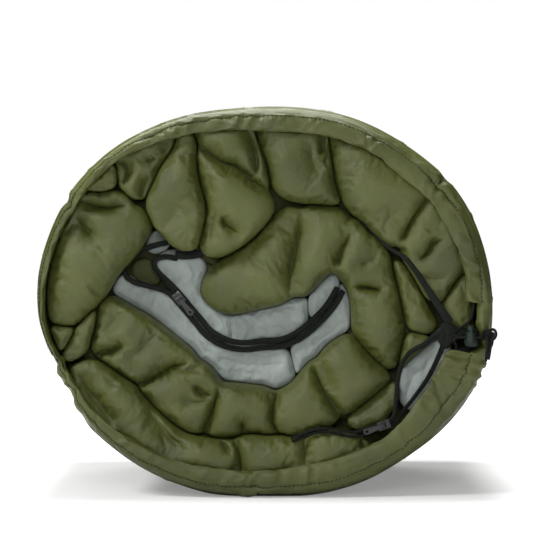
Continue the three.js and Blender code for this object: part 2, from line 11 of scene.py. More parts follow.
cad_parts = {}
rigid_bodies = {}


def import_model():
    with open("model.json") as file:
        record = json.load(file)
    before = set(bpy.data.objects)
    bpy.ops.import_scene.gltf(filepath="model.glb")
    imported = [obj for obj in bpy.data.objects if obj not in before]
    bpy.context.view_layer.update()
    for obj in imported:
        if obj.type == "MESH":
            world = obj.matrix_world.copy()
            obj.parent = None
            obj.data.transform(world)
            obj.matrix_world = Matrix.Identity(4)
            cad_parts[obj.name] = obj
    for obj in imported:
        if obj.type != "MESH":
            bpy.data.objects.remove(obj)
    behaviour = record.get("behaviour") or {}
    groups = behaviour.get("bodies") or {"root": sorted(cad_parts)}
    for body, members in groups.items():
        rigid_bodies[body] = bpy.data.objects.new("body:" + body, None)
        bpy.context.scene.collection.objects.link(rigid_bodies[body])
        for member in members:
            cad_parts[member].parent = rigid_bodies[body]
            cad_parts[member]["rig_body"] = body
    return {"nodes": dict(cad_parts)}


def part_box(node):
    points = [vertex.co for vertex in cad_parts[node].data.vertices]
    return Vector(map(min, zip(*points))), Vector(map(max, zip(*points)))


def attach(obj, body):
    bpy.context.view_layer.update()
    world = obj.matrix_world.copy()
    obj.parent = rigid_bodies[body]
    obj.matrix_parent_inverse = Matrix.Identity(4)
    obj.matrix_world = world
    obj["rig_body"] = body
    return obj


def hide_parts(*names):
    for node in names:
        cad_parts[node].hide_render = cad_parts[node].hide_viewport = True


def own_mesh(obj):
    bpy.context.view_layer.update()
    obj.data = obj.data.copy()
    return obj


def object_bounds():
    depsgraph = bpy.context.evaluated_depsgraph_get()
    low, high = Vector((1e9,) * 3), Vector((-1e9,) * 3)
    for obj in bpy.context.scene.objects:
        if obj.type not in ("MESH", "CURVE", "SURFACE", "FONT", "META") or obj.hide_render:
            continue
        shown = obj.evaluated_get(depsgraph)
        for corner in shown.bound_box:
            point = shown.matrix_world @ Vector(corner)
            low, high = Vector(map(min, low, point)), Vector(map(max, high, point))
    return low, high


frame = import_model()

CAD_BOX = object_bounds()
MM = 0.001
CENTRE = np.array([0.0, 0.215])     # the middle of the roll in its end plane, [x, z]
ZIPS = {"inner_zip": ("upper", "lower"), "outer_zip": ("upper", "lower")}


# ---------------------------------------------------------------- numbers: noise, curves, outlines

def noise3(points, size, seed=0):
    """Smooth noise between -1 and 1 at each point. Its features are about size across."""
    scaled = np.asarray(points, float) / size + np.array([11.7, 5.3, 7.9]) * (seed + 1)
    cell = np.floor(scaled).astype(np.int64)
    part = scaled - cell
    part = part * part * (3 - 2 * part)
    total = np.zeros(len(scaled))
    for corner in product((0, 1), repeat=3):
        key = ((cell + corner) * np.array([73856093, 19349663, 83492791])).sum(1) ^ (seed * 2654435761)
        key = (key ^ (key >> 13)) * 1274126177
        value = ((key ^ (key >> 16)) & 0xFFFF) / 32767.5 - 1
        weight = np.prod(np.where(np.array(corner) == 1, part, 1 - part), axis=1)
        total += weight * value
    return total


def smoothstep(low, high, value):
    t = np.clip((value - low) / (high - low), 0, 1)
    return t * t * (3 - 2 * t)


def resample(points, spacing, closed=True):
    """Points at an even distance along a polyline."""
    points = np.asarray(points, float)
    path = np.vstack([points, points[:1]]) if closed else points
    length = np.concatenate([[0], np.cumsum(np.linalg.norm(np.diff(path, axis=0), axis=1))])
    count = max(6, int(round(length[-1] / spacing)))
    at = np.linspace(0, length[-1], count + 1)
    at = at[:-1] if closed else at
    return np.stack([np.interp(at, length, path[:, k]) for k in range(path.shape[1])], axis=1)


def relax(points, rounds, closed=True):
    """Rounds off a polyline's corners."""
    points = np.array(points, float)
    for _ in range(rounds):
        if closed:
            points = 0.5 * points + 0.25 * (np.roll(points, 1, 0) + np.roll(points, -1, 0))
        else:
            points[1:-1] = 0.5 * points[1:-1] + 0.25 * (points[:-2] + points[2:])
    return points


def at_depth(flat, y):
    """3D points at depth y, one for each [x, z]."""
    return np.stack([flat[:, 0], np.zeros(len(flat)) + y, flat[:, 1]], axis=1)


def middle_of(node):
    """The middle of a CAD node's box, as [x, z]."""
    low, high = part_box(node)
    return np.array([(low.x + high.x) / 2, (low.z + high.z) / 2])


def loop_edges(loops):
    """The edges of several loops whose points are listed one loop after another."""
    edges, first = [], 0
    for loop in loops:
        edges += [(first + i, first + (i + 1) % len(loop)) for i in range(len(loop))]
        first += len(loop)
    return edges


def signed_area(loop):
    """A loop's area, positive where it runs counter-clockwise."""
    following = np.roll(loop, -1, 0)
    return 0.5 * np.sum(loop[:, 0] * following[:, 1] - following[:, 0] * loop[:, 1])


def outward(loop):
    """Unit normals of a counter-clockwise loop, pointing out."""
    along = np.roll(loop, -1, 0) - np.roll(loop, 1, 0)
    along /= np.linalg.norm(along, axis=1)[:, None] + 1e-12
    return np.stack([along[:, 1], -along[:, 0]], axis=1)


def sideways(line):
    """Unit normals of an open line."""
    along = np.gradient(line, axis=0)
    along /= np.linalg.norm(along, axis=1)[:, None] + 1e-12
    return np.stack([-along[:, 1], along[:, 0]], axis=1)


def nearest_on(loop, points, closed=True):
    """Each point's distance to a polyline, and how far along the polyline its nearest place is."""
    start = np.asarray(loop, float)
    end = np.roll(start, -1, 0)
    if not closed:
        start, end = start[:-1], end[:-1]
    edge = end - start
    length = np.linalg.norm(edge, axis=1) + 1e-12
    offset = np.concatenate([[0], np.cumsum(length)[:-1]])
    distance = np.full(len(points), 1e9)
    along = np.zeros(len(points))
    for i in range(len(start)):
        t = np.clip(((points - start[i]) @ edge[i]) / length[i] ** 2, 0, 1)
        d = np.linalg.norm(points - start[i] - t[:, None] * edge[i], axis=1)
        closer = d < distance
        distance[closer] = d[closer]
        along[closer] = (offset[i] + t * length[i])[closer]
    return distance, along


def inside(loop, points):
    """True for each point inside a closed loop."""
    result = np.zeros(len(points), bool)
    ahead = np.roll(loop, -1, 0)
    for (ax, az), (bx, bz) in zip(loop, ahead):
        crosses = (az > points[:, 1]) != (bz > points[:, 1])
        where = (bx - ax) * (points[:, 1] - az) / (bz - az + 1e-15) + ax
        result ^= crosses & (points[:, 0] < where)
    return result


def reach(loop, angles):
    """How far a loop is from the roll's middle at each angle: its nearest and its farthest crossing."""
    start = loop - CENTRE
    edge = np.roll(start, -1, 0) - start
    near, far = np.full(len(angles), np.inf), np.zeros(len(angles))
    for i, angle in enumerate(angles):
        direction = np.array([math.cos(angle), math.sin(angle)])
        cross = direction[0] * edge[:, 1] - direction[1] * edge[:, 0]
        cross = np.where(np.abs(cross) < 1e-12, 1e-12, cross)
        along = (start[:, 0] * edge[:, 1] - start[:, 1] * edge[:, 0]) / cross
        share = (start[:, 0] * direction[1] - start[:, 1] * direction[0]) / cross
        hits = along[(along > 0) & (share >= 0) & (share <= 1)]
        if len(hits):
            near[i], far[i] = hits.min(), hits.max()
    return near, far


def sections(node, y):
    """The closed loops of a CAD node's cut at depth y, the longest first, counter-clockwise, as [x, z]."""
    mesh = bmesh.new()
    mesh.from_mesh(frame["nodes"][node].data)
    bmesh.ops.remove_doubles(mesh, verts=mesh.verts, dist=1e-6)
    parts = mesh.verts[:] + mesh.edges[:] + mesh.faces[:]
    cut = bmesh.ops.bisect_plane(mesh, geom=parts, dist=1e-7, plane_co=(0, y, 0), plane_no=(0, 1, 0))
    edges = dict.fromkeys(e for e in cut["geom_cut"] if isinstance(e, bmesh.types.BMEdge))
    loops = []
    while edges:
        edge, _ = edges.popitem()
        chain = [edge.verts[0], edge.verts[1]]
        while True:
            following = next((e for e in chain[-1].link_edges if e in edges), None)
            if following is None:
                break
            del edges[following]
            chain.append(following.other_vert(chain[-1]))
        loop = np.array([[v.co.x, v.co.z] for v in chain[:-1]])
        loop = loop if signed_area(loop) > 0 else loop[::-1]
        loops.append(np.roll(loop, -int(np.lexsort((loop[:, 1], loop[:, 0]))[-1]), axis=0))
    mesh.free()
    return sorted(loops, key=lambda loop: -abs(signed_area(loop)))


STRIP_STEP = 0.7 * MM
STRIP_END = 5 * MM        # a strip's ends are where points this far to both sides are closest together


def centreline(node, y, spacing):
    """The middle line of a CAD strip node, from its first end to its other."""
    loop = resample(sections(node, y)[0], STRIP_STEP)
    count = len(loop)
    step = int(STRIP_END / STRIP_STEP)
    span = np.linalg.norm(np.roll(loop, -step, 0) - np.roll(loop, step, 0), axis=1)
    first = int(np.argmin(span))
    away = np.minimum((np.arange(count) - first) % count, (first - np.arange(count)) % count)
    second = int(np.argmin(np.where(away > count // 4, span, 1e9)))
    ring = np.roll(loop, -first, 0)
    cut = (second - first) % count
    side_a = resample(ring[:cut + 1], spacing, closed=False)
    side_b = resample(np.vstack([ring[cut:], ring[:1]])[::-1], spacing, closed=False)
    at = np.linspace(0, len(side_b) - 1, len(side_a))
    matched = np.stack([np.interp(at, np.arange(len(side_b)), side_b[:, k]) for k in range(2)], axis=1)
    return relax((side_a + matched) / 2, 4, closed=False)


# ---------------------------------------------------------------- meshes

def placed(name, data):
    """A new object in the scene."""
    made = bpy.data.objects.new(name, data)
    bpy.context.scene.collection.objects.link(made)
    return made


def vertex_values(mesh, key):
    """A value of every vertex, such as its place or its normal, as rows of three."""
    values = np.empty(len(mesh.vertices) * 3)
    mesh.vertices.foreach_get(key, values)
    return values.reshape(-1, 3)


def new_piece(name, vertices, faces, material, nodes=(), body="root"):
    """A smooth mesh object that rides on a body and stands for some CAD nodes."""
    mesh = bpy.data.meshes.new(name)
    mesh.from_pydata([tuple(v) for v in vertices], [], [tuple(f) for f in faces])
    mesh.validate()
    piece = placed(name, mesh)
    mesh.shade_smooth()
    mesh.materials.append(material)
    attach(piece, body)
    if nodes:
        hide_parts(*nodes)
    return piece


def change_mesh(piece, change):
    """Applies a bmesh change to a piece."""
    mesh = bmesh.new()
    mesh.from_mesh(piece.data)
    change(mesh)
    mesh.to_mesh(piece.data)
    mesh.free()


def make_normals_outside(piece):
    change_mesh(piece, lambda mesh: bmesh.ops.recalc_face_normals(mesh, faces=mesh.faces))


def subdivide(piece):
    smooth = piece.modifiers.new("subdivision", "SUBSURF")
    smooth.levels = smooth.render_levels = 1


def thicken(piece, thickness):
    piece.modifiers.new("thickness", "SOLIDIFY").thickness = thickness


def closed_faces(faces, count, rim_count):
    """The faces of a closed body: a front sheet, a copy of it turned round at the back, and a wall between
    their rims."""
    made = list(faces) + [tuple(v + count for v in f[::-1]) for f in faces]
    ahead = [(k + 1) % rim_count for k in range(rim_count)]
    return made + [(k, ahead[k], count + ahead[k], count + k) for k in range(rim_count)]


def grid_faces(rows, columns, wrap=True, start=0):
    """Quads between rows of vertices that lie one after another."""
    faces = []
    for r in range(rows - 1):
        for c in range(columns if wrap else columns - 1):
            n = (c + 1) % columns
            a, b = start + r * columns + c, start + r * columns + n
            faces.append((a, b, b + columns, a + columns))
    return faces


def tube_faces(rows, sides, start=0):
    """The faces of a tube made of rings of vertices, closed at both ends."""
    last = start + (rows - 1) * sides
    caps = [tuple(start + k for k in range(sides))[::-1], tuple(last + k for k in range(sides))]
    return grid_faces(rows, sides, start=start) + caps


def beside(line, spacing):
    """Points on a line and close to both its sides, so that a crease along it comes out sharp."""
    across = sideways(line)
    return np.vstack([resample(line + side * spacing * across, 0.75 * spacing, closed=False)
                      for side in (0, -0.5, 0.5)])


def apart(points, distance):
    """Leaves out each point that is too close to one kept before it."""
    kept = []
    for point in points:
        if not kept or np.min(np.linalg.norm(np.array(kept) - point, axis=1)) > distance:
            kept.append(point)
    return np.array(kept).reshape(-1, 2)


def triangulated(loops, points=()):
    """Triangles between the points of several loops and other points: the [x, z] places, the corners, and
    the numbers of the given points that each place comes from."""
    every = np.vstack([*loops, *([points] if len(points) else [])])
    made = geometry.delaunay_2d_cdt([Vector(p) for p in every], loop_edges(loops), [], 0, 1e-7)
    return np.array([list(v) for v in made[0]]), [list(f) for f in made[2]], made[3]


def fill(rim, spacing, lines=()):
    """Even triangles inside a closed rim: the rim's own points, a ring close inside it, any crease lines
    and a field."""
    ring = rim - outward(rim) * 0.87 * spacing
    low, high = rim.min(0), rim.max(0)
    rows = np.arange(low[1], high[1], spacing * math.sqrt(3) / 2)
    field = np.array([(x + (spacing / 2 if i % 2 else 0), z)
                      for i, z in enumerate(rows) for x in np.arange(low[0], high[0], spacing)])
    creases = apart(np.vstack([beside(line, spacing) for line in lines]), 0.4 * spacing) if lines else None
    kept = [rim]
    for points, margin in ((creases, 0.45 * spacing), (ring, 0.8 * spacing), (field, 1.55 * spacing)):
        if points is None:
            continue
        distance, _ = nearest_on(rim, points)
        good = inside(rim, points) & (distance > margin)
        if points is not creases and creases is not None:
            good &= np.linalg.norm(points[:, None] - creases[None], axis=2).min(1) > 0.6 * spacing
        kept.append(points[good])
    points = np.vstack(kept)
    boundary = [list(range(len(rim)))]
    made = geometry.delaunay_2d_cdt([Vector(p) for p in points], [], boundary, 1, 1e-7)
    origin = [o[0] for o in made[3]]
    faces = [tuple(origin[v] for v in f) for f in made[2]]
    return points, faces


def inflated(points, faces, rim_count):
    """The height of a membrane blown up over the filled rim: round across a strip, nought at the rim."""
    count = len(points)
    matrix = np.zeros((count, count))
    load = np.zeros(count)
    for face in faces:
        for k in range(3):
            a, b, c = face[k], face[(k + 1) % 3], face[(k + 2) % 3]
            to_a, to_b = points[a] - points[c], points[b] - points[c]
            cross = abs(to_a[0] * to_b[1] - to_a[1] * to_b[0]) + 1e-12
            weight = 0.5 * (to_a @ to_b) / cross
            matrix[a, a] += weight
            matrix[b, b] += weight
            matrix[a, b] -= weight
            matrix[b, a] -= weight
            load[c] += cross / 6
    inner = slice(rim_count, count)
    height = np.zeros(count)
    height[inner] = np.linalg.solve(matrix[inner, inner], load[inner])
    return np.sqrt(2 * np.maximum(height, 0))


# ---------------------------------------------------------------- materials

class Nodes:
    """A material and a short way to write its node tree."""

    def __init__(self, name):
        self.material = bpy.data.materials.new(name)
        self.material.use_nodes = True
        self.tree = self.material.node_tree
        self.tree.nodes.clear()
        self.output = self.tree.nodes.new("ShaderNodeOutputMaterial")
        self.shader = self.tree.nodes.new("ShaderNodeBsdfPrincipled")
        self.tree.links.new(self.shader.outputs[0], self.output.inputs["Surface"])
        self.place = self.tree.nodes.new("ShaderNodeNewGeometry").outputs["Position"]

    def feed(self, socket, value):
        """Links a socket to a node's output, or gives it a plain value."""
        if isinstance(value, bpy.types.NodeSocket):
            self.tree.links.new(value, socket)
        else:
            socket.default_value = value

    def node(self, kind, inputs=None, **settings):
        node = self.tree.nodes.new(kind)
        for key, value in settings.items():
            setattr(node, key, value)
        for key, value in (inputs or {}).items():
            self.feed(node.inputs[key], value)
        return node

    def math(self, operation, a, b=0.0):
        return self.node("ShaderNodeMath", {0: a, 1: b}, operation=operation).outputs[0]

    def noise(self, scale, detail=2.0, stretch=(1, 1, 1)):
        moved = self.node("ShaderNodeMapping", {"Vector": self.place, "Scale": stretch}).outputs[0]
        inputs = {"Vector": moved, "Scale": scale, "Detail": detail}
        return self.node("ShaderNodeTexNoise", inputs).outputs["Fac"]

    def ramp(self, value, low, high, to_low=0.0, to_high=1.0):
        inputs = {"Value": value, "From Min": low, "From Max": high, "To Min": to_low, "To Max": to_high}
        return self.node("ShaderNodeMapRange", inputs, clamp=True).outputs[0]

    def patches(self, scale, detail, low=0.3, high=0.7, to_low=0.0, to_high=1.0, stretch=(1, 1, 1)):
        """Soft patches of noise that go from one value to another."""
        return self.ramp(self.noise(scale, detail, stretch), low, high, to_low, to_high)

    def pointiness(self):
        return self.node("ShaderNodeNewGeometry").outputs["Pointiness"]

    def mix(self, factor, a, b):
        return self.node("ShaderNodeMix", {0: factor, 6: a, 7: b}, data_type="RGBA").outputs[2]

    def bump(self, height, distance, strength, normal=None):
        inputs = {"Height": height, "Distance": distance, "Strength": strength}
        if normal is not None:
            inputs["Normal"] = normal
        return self.node("ShaderNodeBump", inputs).outputs[0]

    def set(self, **values):
        for key, value in values.items():
            self.feed(self.shader.inputs[key.replace("_", " ")], value)
        return self.material


def rgb(red, green, blue):
    """A colour as linear light, from its 0 to 255 display values."""
    def linear(value):
        value /= 255
        return value / 12.92 if value <= 0.04045 else ((value + 0.055) / 1.055) ** 2.4
    return (linear(red), linear(green), linear(blue), 1)


def scaled(colour, factor):
    """A colour made darker or lighter."""
    return tuple(min(1, factor * c) for c in colour[:3]) + (1,)


def wave(nodes, value, pitch):
    return nodes.math("SINE", nodes.math("MULTIPLY", value, 2 * math.pi / pitch))


def weave(nodes, pitch):
    """Threads that cross at right angles, as a height."""
    split = nodes.node("ShaderNodeSeparateXYZ", {0: nodes.place})
    waves = [wave(nodes, split.outputs[k], pitch) for k in range(3)]
    return nodes.math("ADD", nodes.math("ADD", waves[0], waves[1]), waves[2])


def woven(name, dark, light, roughness, sheen, pitch, crumple, shine):
    """Woven fabric: two tones that drift, threads, fine crumples, paler crowns (rubbed wear and a painted
    highlight) and painted shade in creases.
    """
    nodes = Nodes(name)
    colour = nodes.mix(nodes.patches(14, 3, 0.35, 0.65), dark, light)
    fine = nodes.math("MULTIPLY", nodes.patches(900, 1, stretch=(1, 0.25, 1)), 0.22)
    colour = nodes.mix(fine, colour, nodes.mix(0.5, colour, dark))
    # Paler patches on the crowns of the domes: partly rubbed wear, partly a painted highlight.
    crown = nodes.node("ShaderNodeAttribute", attribute_name="crown").outputs["Fac"]
    crown = nodes.ramp(crown, 0.75, 1.0, 0.0, 0.5)
    paler_patches = nodes.math("MULTIPLY", crown, nodes.patches(30, 4, 0.45, 0.7))
    colour = nodes.mix(paler_patches, colour, scaled(light, 1.25))
    # Darker where the surface folds inwards: painted shade in the creases.
    painted_crease_shade = nodes.ramp(nodes.pointiness(), 0.49, 0.43, 0.0, 0.55)
    colour = nodes.mix(painted_crease_shade, colour, scaled(dark, 0.4))
    texture = nodes.bump(nodes.noise(60, 4), 6 * MM, crumple)
    texture = nodes.bump(nodes.noise(260, 3), 1.2 * MM, 0.35, texture)
    texture = nodes.bump(weave(nodes, pitch), 0.06 * MM, 0.5, texture)
    gloss = nodes.patches(45, 2, to_low=roughness - 0.05, to_high=roughness + 0.07)
    return nodes.set(Base_Color=colour, Roughness=gloss, Normal=texture, Sheen_Weight=sheen,
                     Sheen_Roughness=0.4, Sheen_Tint=scaled(light, 3.5), Specular_IOR_Level=shine)


def plastic(name, colour, roughness, grain=0.15):
    nodes = Nodes(name)
    tone = nodes.mix(nodes.patches(300, 3), colour, scaled(colour, 1.35))
    texture = nodes.bump(nodes.noise(2600, 2), 0.08 * MM, grain)
    gloss = nodes.patches(500, 2, to_low=roughness - 0.06, to_high=roughness + 0.08)
    return nodes.set(Base_Color=tone, Roughness=gloss, Normal=texture, Specular_IOR_Level=0.3)


def enamelled(name, colour):
    """Black enamel over zinc, rubbed through to metal on its edges."""
    nodes = Nodes(name)
    edges = nodes.ramp(nodes.pointiness(), 0.55, 0.64)
    paler_patches = nodes.math("MULTIPLY", edges, nodes.patches(700, 3, 0.45, 0.6))
    tone = nodes.mix(paler_patches, colour, (0.35, 0.34, 0.32, 1))
    gloss = nodes.patches(400, 3, to_low=0.28, to_high=0.42)
    texture = nodes.bump(nodes.noise(1500, 2), 0.05 * MM, 0.2)
    return nodes.set(Base_Color=tone, Roughness=gloss, Normal=texture, Metallic=paler_patches)


def braided(name, colour, pitch):
    """Braided cord: crossing bundles of threads."""
    nodes = Nodes(name)
    split = nodes.node("ShaderNodeSeparateXYZ", {0: nodes.place})
    rising = nodes.math("ADD", split.outputs[0], split.outputs[2])
    falling = nodes.math("SUBTRACT", split.outputs[0], split.outputs[2])
    height = nodes.math("MAXIMUM", wave(nodes, rising, pitch), wave(nodes, falling, pitch))
    # The low places between the bundles are darkened: painted shade.
    tone = nodes.mix(nodes.ramp(height, -0.6, 0.9), scaled(colour, 0.4), colour)
    texture = nodes.bump(height, 0.25 * MM, 0.8)
    return nodes.set(Base_Color=tone, Roughness=0.7, Normal=texture, Specular_IOR_Level=0.25)


def spring_wire(name):
    nodes = Nodes(name)
    gloss = nodes.patches(1200, 3, to_low=0.18, to_high=0.34, stretch=(1, 1, 0.2))
    return nodes.set(Base_Color=(0.55, 0.54, 0.52, 1), Roughness=gloss, Metallic=1.0)


OLIVE = woven("olive_fabric", rgb(68, 73, 33), rgb(80, 85, 40), 0.34, 0.08, 0.5 * MM, 0.22, 0.38)
# A darker copy of the olive fabric: painted shade for the fabric deep inside the roll.
OLIVE_SHADED = woven("olive_fabric_painted_shade", rgb(50, 54, 27), rgb(60, 64, 33), 0.6, 0.0, 0.5 * MM, 0.25, 0.2)
GREY = woven("grey_lining", rgb(134, 143, 139), rgb(150, 157, 153), 0.42, 0.15, 0.45 * MM, 0.18, 0.35)
# A darker copy of the grey lining: painted shade for the lining deep in the corner.
GREY_SHADED = woven("grey_lining_painted_shade", rgb(92, 101, 96), rgb(106, 114, 109), 0.5, 0.1, 0.45 * MM, 0.18,
                  0.3)
TAPE = woven("zip_tape", rgb(12, 17, 12), rgb(19, 24, 18), 0.75, 0.02, 0.8 * MM, 0.1, 0.2)
COIL = plastic("zip_coil", rgb(13, 17, 13), 0.5)
ENAMEL = enamelled("zip_enamel", rgb(14, 16, 14))
CORD = braided("cord_braid", rgb(16, 19, 16), 1.5 * MM)
LOCK_PLASTIC = plastic("cord_lock_plastic", rgb(18, 30, 23), 0.5)
WIRE = spring_wire("spring_wire")
DARK_THREAD = plastic("dark_thread", rgb(16, 20, 15), 0.7, 0.4)


# ---------------------------------------------------------------- the hem's opening and the roll's outline

HEM_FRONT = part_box("drawcord_hem")[0].y
HEM_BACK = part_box("drawcord_hem")[1].y
ROLL_LOOP = relax(resample(sections("outer_shell", 0.0)[0], 4 * MM), 6)
HEM_CUT = sections("drawcord_hem", HEM_FRONT + 2 * MM)[0]
LOCK_LOW, LOCK_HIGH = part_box("cord_lock_barrel")
# The gap in the hem where the cord comes out, from its lowest to its highest point.
GAP_Z = (LOCK_LOW.z - 2 * MM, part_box("cord_lock_plunger")[1].z + 2.7 * MM)


def hem_table():
    """The hem's inner edge and the roll's outline, as distances from the middle, every half degree."""
    angles = np.linspace(-math.pi, math.pi, 721)[:-1]
    near, _ = reach(HEM_CUT, angles)
    _, outer = reach(ROLL_LOOP, angles)
    in_gap = (np.abs(angles) < 0.2) & (near > outer - 14 * MM)
    good = np.isfinite(near) & (near > 0.15) & ~in_gap
    return angles, np.interp(angles, angles[good], near[good], period=2 * math.pi), outer


HEM_TABLE = hem_table()


def hem_radius(angles):
    """The hem's inner edge and the roll's outline, as distances from the middle at each angle."""
    table, inner, outer = HEM_TABLE
    inner = np.interp(angles, table, inner, period=2 * math.pi)
    return inner, np.interp(angles, table, outer, period=2 * math.pi)


def polar(points):
    """The angle and the distance from the roll's middle of each [x, z]."""
    offset = np.asarray(points) - CENTRE
    return np.arctan2(offset[:, 1], offset[:, 0]), np.linalg.norm(offset, axis=1)


def on_ring(angles, radius):
    return CENTRE + np.stack([np.cos(angles), np.sin(angles)], axis=1) * np.asarray(radius)[:, None]


# ---------------------------------------------------------------- outlines that press against each other

RIM_SPACING = 3.4 * MM
GROWTH = 7 * MM           # how far a soft outline may spread to meet its neighbours
LINING_GROWTH = 12 * MM   # the lining goes on under the zipper
CONTACT = 0.35 * MM       # the gap that stays between two soft outlines that touch
SPREAD_ROUNDS = 16
SPREAD_STEP = 1.4 * MM    # how far an outline may grow in one round
SPREAD_BACK = 0.6 * MM    # and how far it may draw back
SPREAD_SIGHT = 16 * MM    # how far away it looks for neighbours
FENCE_DEPTH = 10 * MM     # how far inside the roll's outline the filled chambers end
FENCE_TUCK = 12 * MM      # how far they may reach out behind the hem's inner edge


def gap_to(points, normals, starts, ends):
    """The distance from each point to the nearest of the segments that lie ahead of it."""
    edge = ends - starts
    length = (edge ** 2).sum(1) + 1e-18
    to = points[:, None, :] - starts[None]
    t = np.clip((to * edge[None]).sum(2) / length[None], 0, 1)
    away = starts[None] + t[..., None] * edge[None] - points[:, None, :]
    distance = np.linalg.norm(away, axis=2)
    ahead = (away * normals[:, None, :]).sum(2) > -0.3 * distance
    return np.where(ahead, distance, 1.0).min(1)


def spread(loops, fence):
    """Lets each outline swell until it meets its neighbours or the fence around them all."""
    loops = {name: within_fence(relax(resample(loop, RIM_SPACING), 2)) for name, loop in loops.items()}
    room = {name: np.zeros(len(loop)) for name, loop in loops.items()}
    for _ in range(SPREAD_ROUNDS):
        moved = {}
        for name, loop in loops.items():
            low, high = loop.min(0) - SPREAD_SIGHT, loop.max(0) + SPREAD_SIGHT
            others = [other for key, other in loops.items() if key != name] + [fence]
            starts = np.vstack(others)
            ends = np.vstack([np.roll(other, -1, 0) for other in others])
            close = ((starts > low) & (starts < high)).all(1)
            normals = outward(loop)
            gap = gap_to(loop, normals, starts[close], ends[close])
            to_fence = nearest_on(fence, loop)[0]
            growth = LINING_GROWTH if name.startswith(("lining", "shell_panel")) else GROWTH
            limit = np.where(to_fence < gap + 1 * MM, 3.5 * growth, growth)
            step = np.clip((gap - CONTACT) * 0.5, -SPREAD_BACK, SPREAD_STEP)
            step = np.where(gap > 2 * limit, 0, np.minimum(step, limit - room[name]))
            room[name] = room[name] + step
            moved[name] = loop + normals * step[:, None]
        loops = {name: within_fence(relax(loop, 1)) for name, loop in moved.items()}
    return loops


def soft_nodes():
    starts = ("chamber_", "lining_", "shell_panel")
    return sorted(n for n in frame["nodes"] if n.startswith(starts))


def mid_section(node):
    low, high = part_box(node)
    return sections(node, (low.y + high.y) / 2)[0]


def fence_radius(angles):
    inner, outer = hem_radius(angles)
    return np.minimum(outer - FENCE_DEPTH, inner + FENCE_TUCK)


def within_fence(loop):
    angles, radius = polar(loop)
    return on_ring(angles, np.minimum(radius, fence_radius(angles) - CONTACT))


FENCE_ANGLES = np.linspace(0, 2 * math.pi, 360, endpoint=False)
FENCE = on_ring(FENCE_ANGLES, fence_radius(FENCE_ANGLES))
OUTLINES = spread({node: mid_section(node) for node in soft_nodes()}, FENCE)


# ---------------------------------------------------------------- which chambers are one run of fabric

CHAMBERS = {
    "core": ("core_left", "core_right", "middle_right"),
    "middle": ("middle_left", "middle_lower_left", "middle_bottom_left", "middle_bottom",
               "middle_lower_right"),
    "bottom": ("outer_lower_left", "outer_bottom", "outer_bottom_right"),
    "right": ("outer_upper_right", "outer_right"),
    "petal": ("petal_right", "petal_back", "pleat_top"),
    "left": ("outer_left", "pleat_left"),
    "petal_left": ("petal_left",),
    "outer_top": ("outer_top",),
    "outer_upper_left": ("outer_upper_left",),
    "tuck_left": ("tuck_left",),
    "fold_outer": ("fold_outer",),
    "fold_inner": ("fold_inner",),
    "pleat_right": ("pleat_right",),
    "flap_right": ("flap_right",),
    "flap_lower_right": ("flap_lower_right",),
    "flap_bottom_right": ("flap_bottom_right",),
}

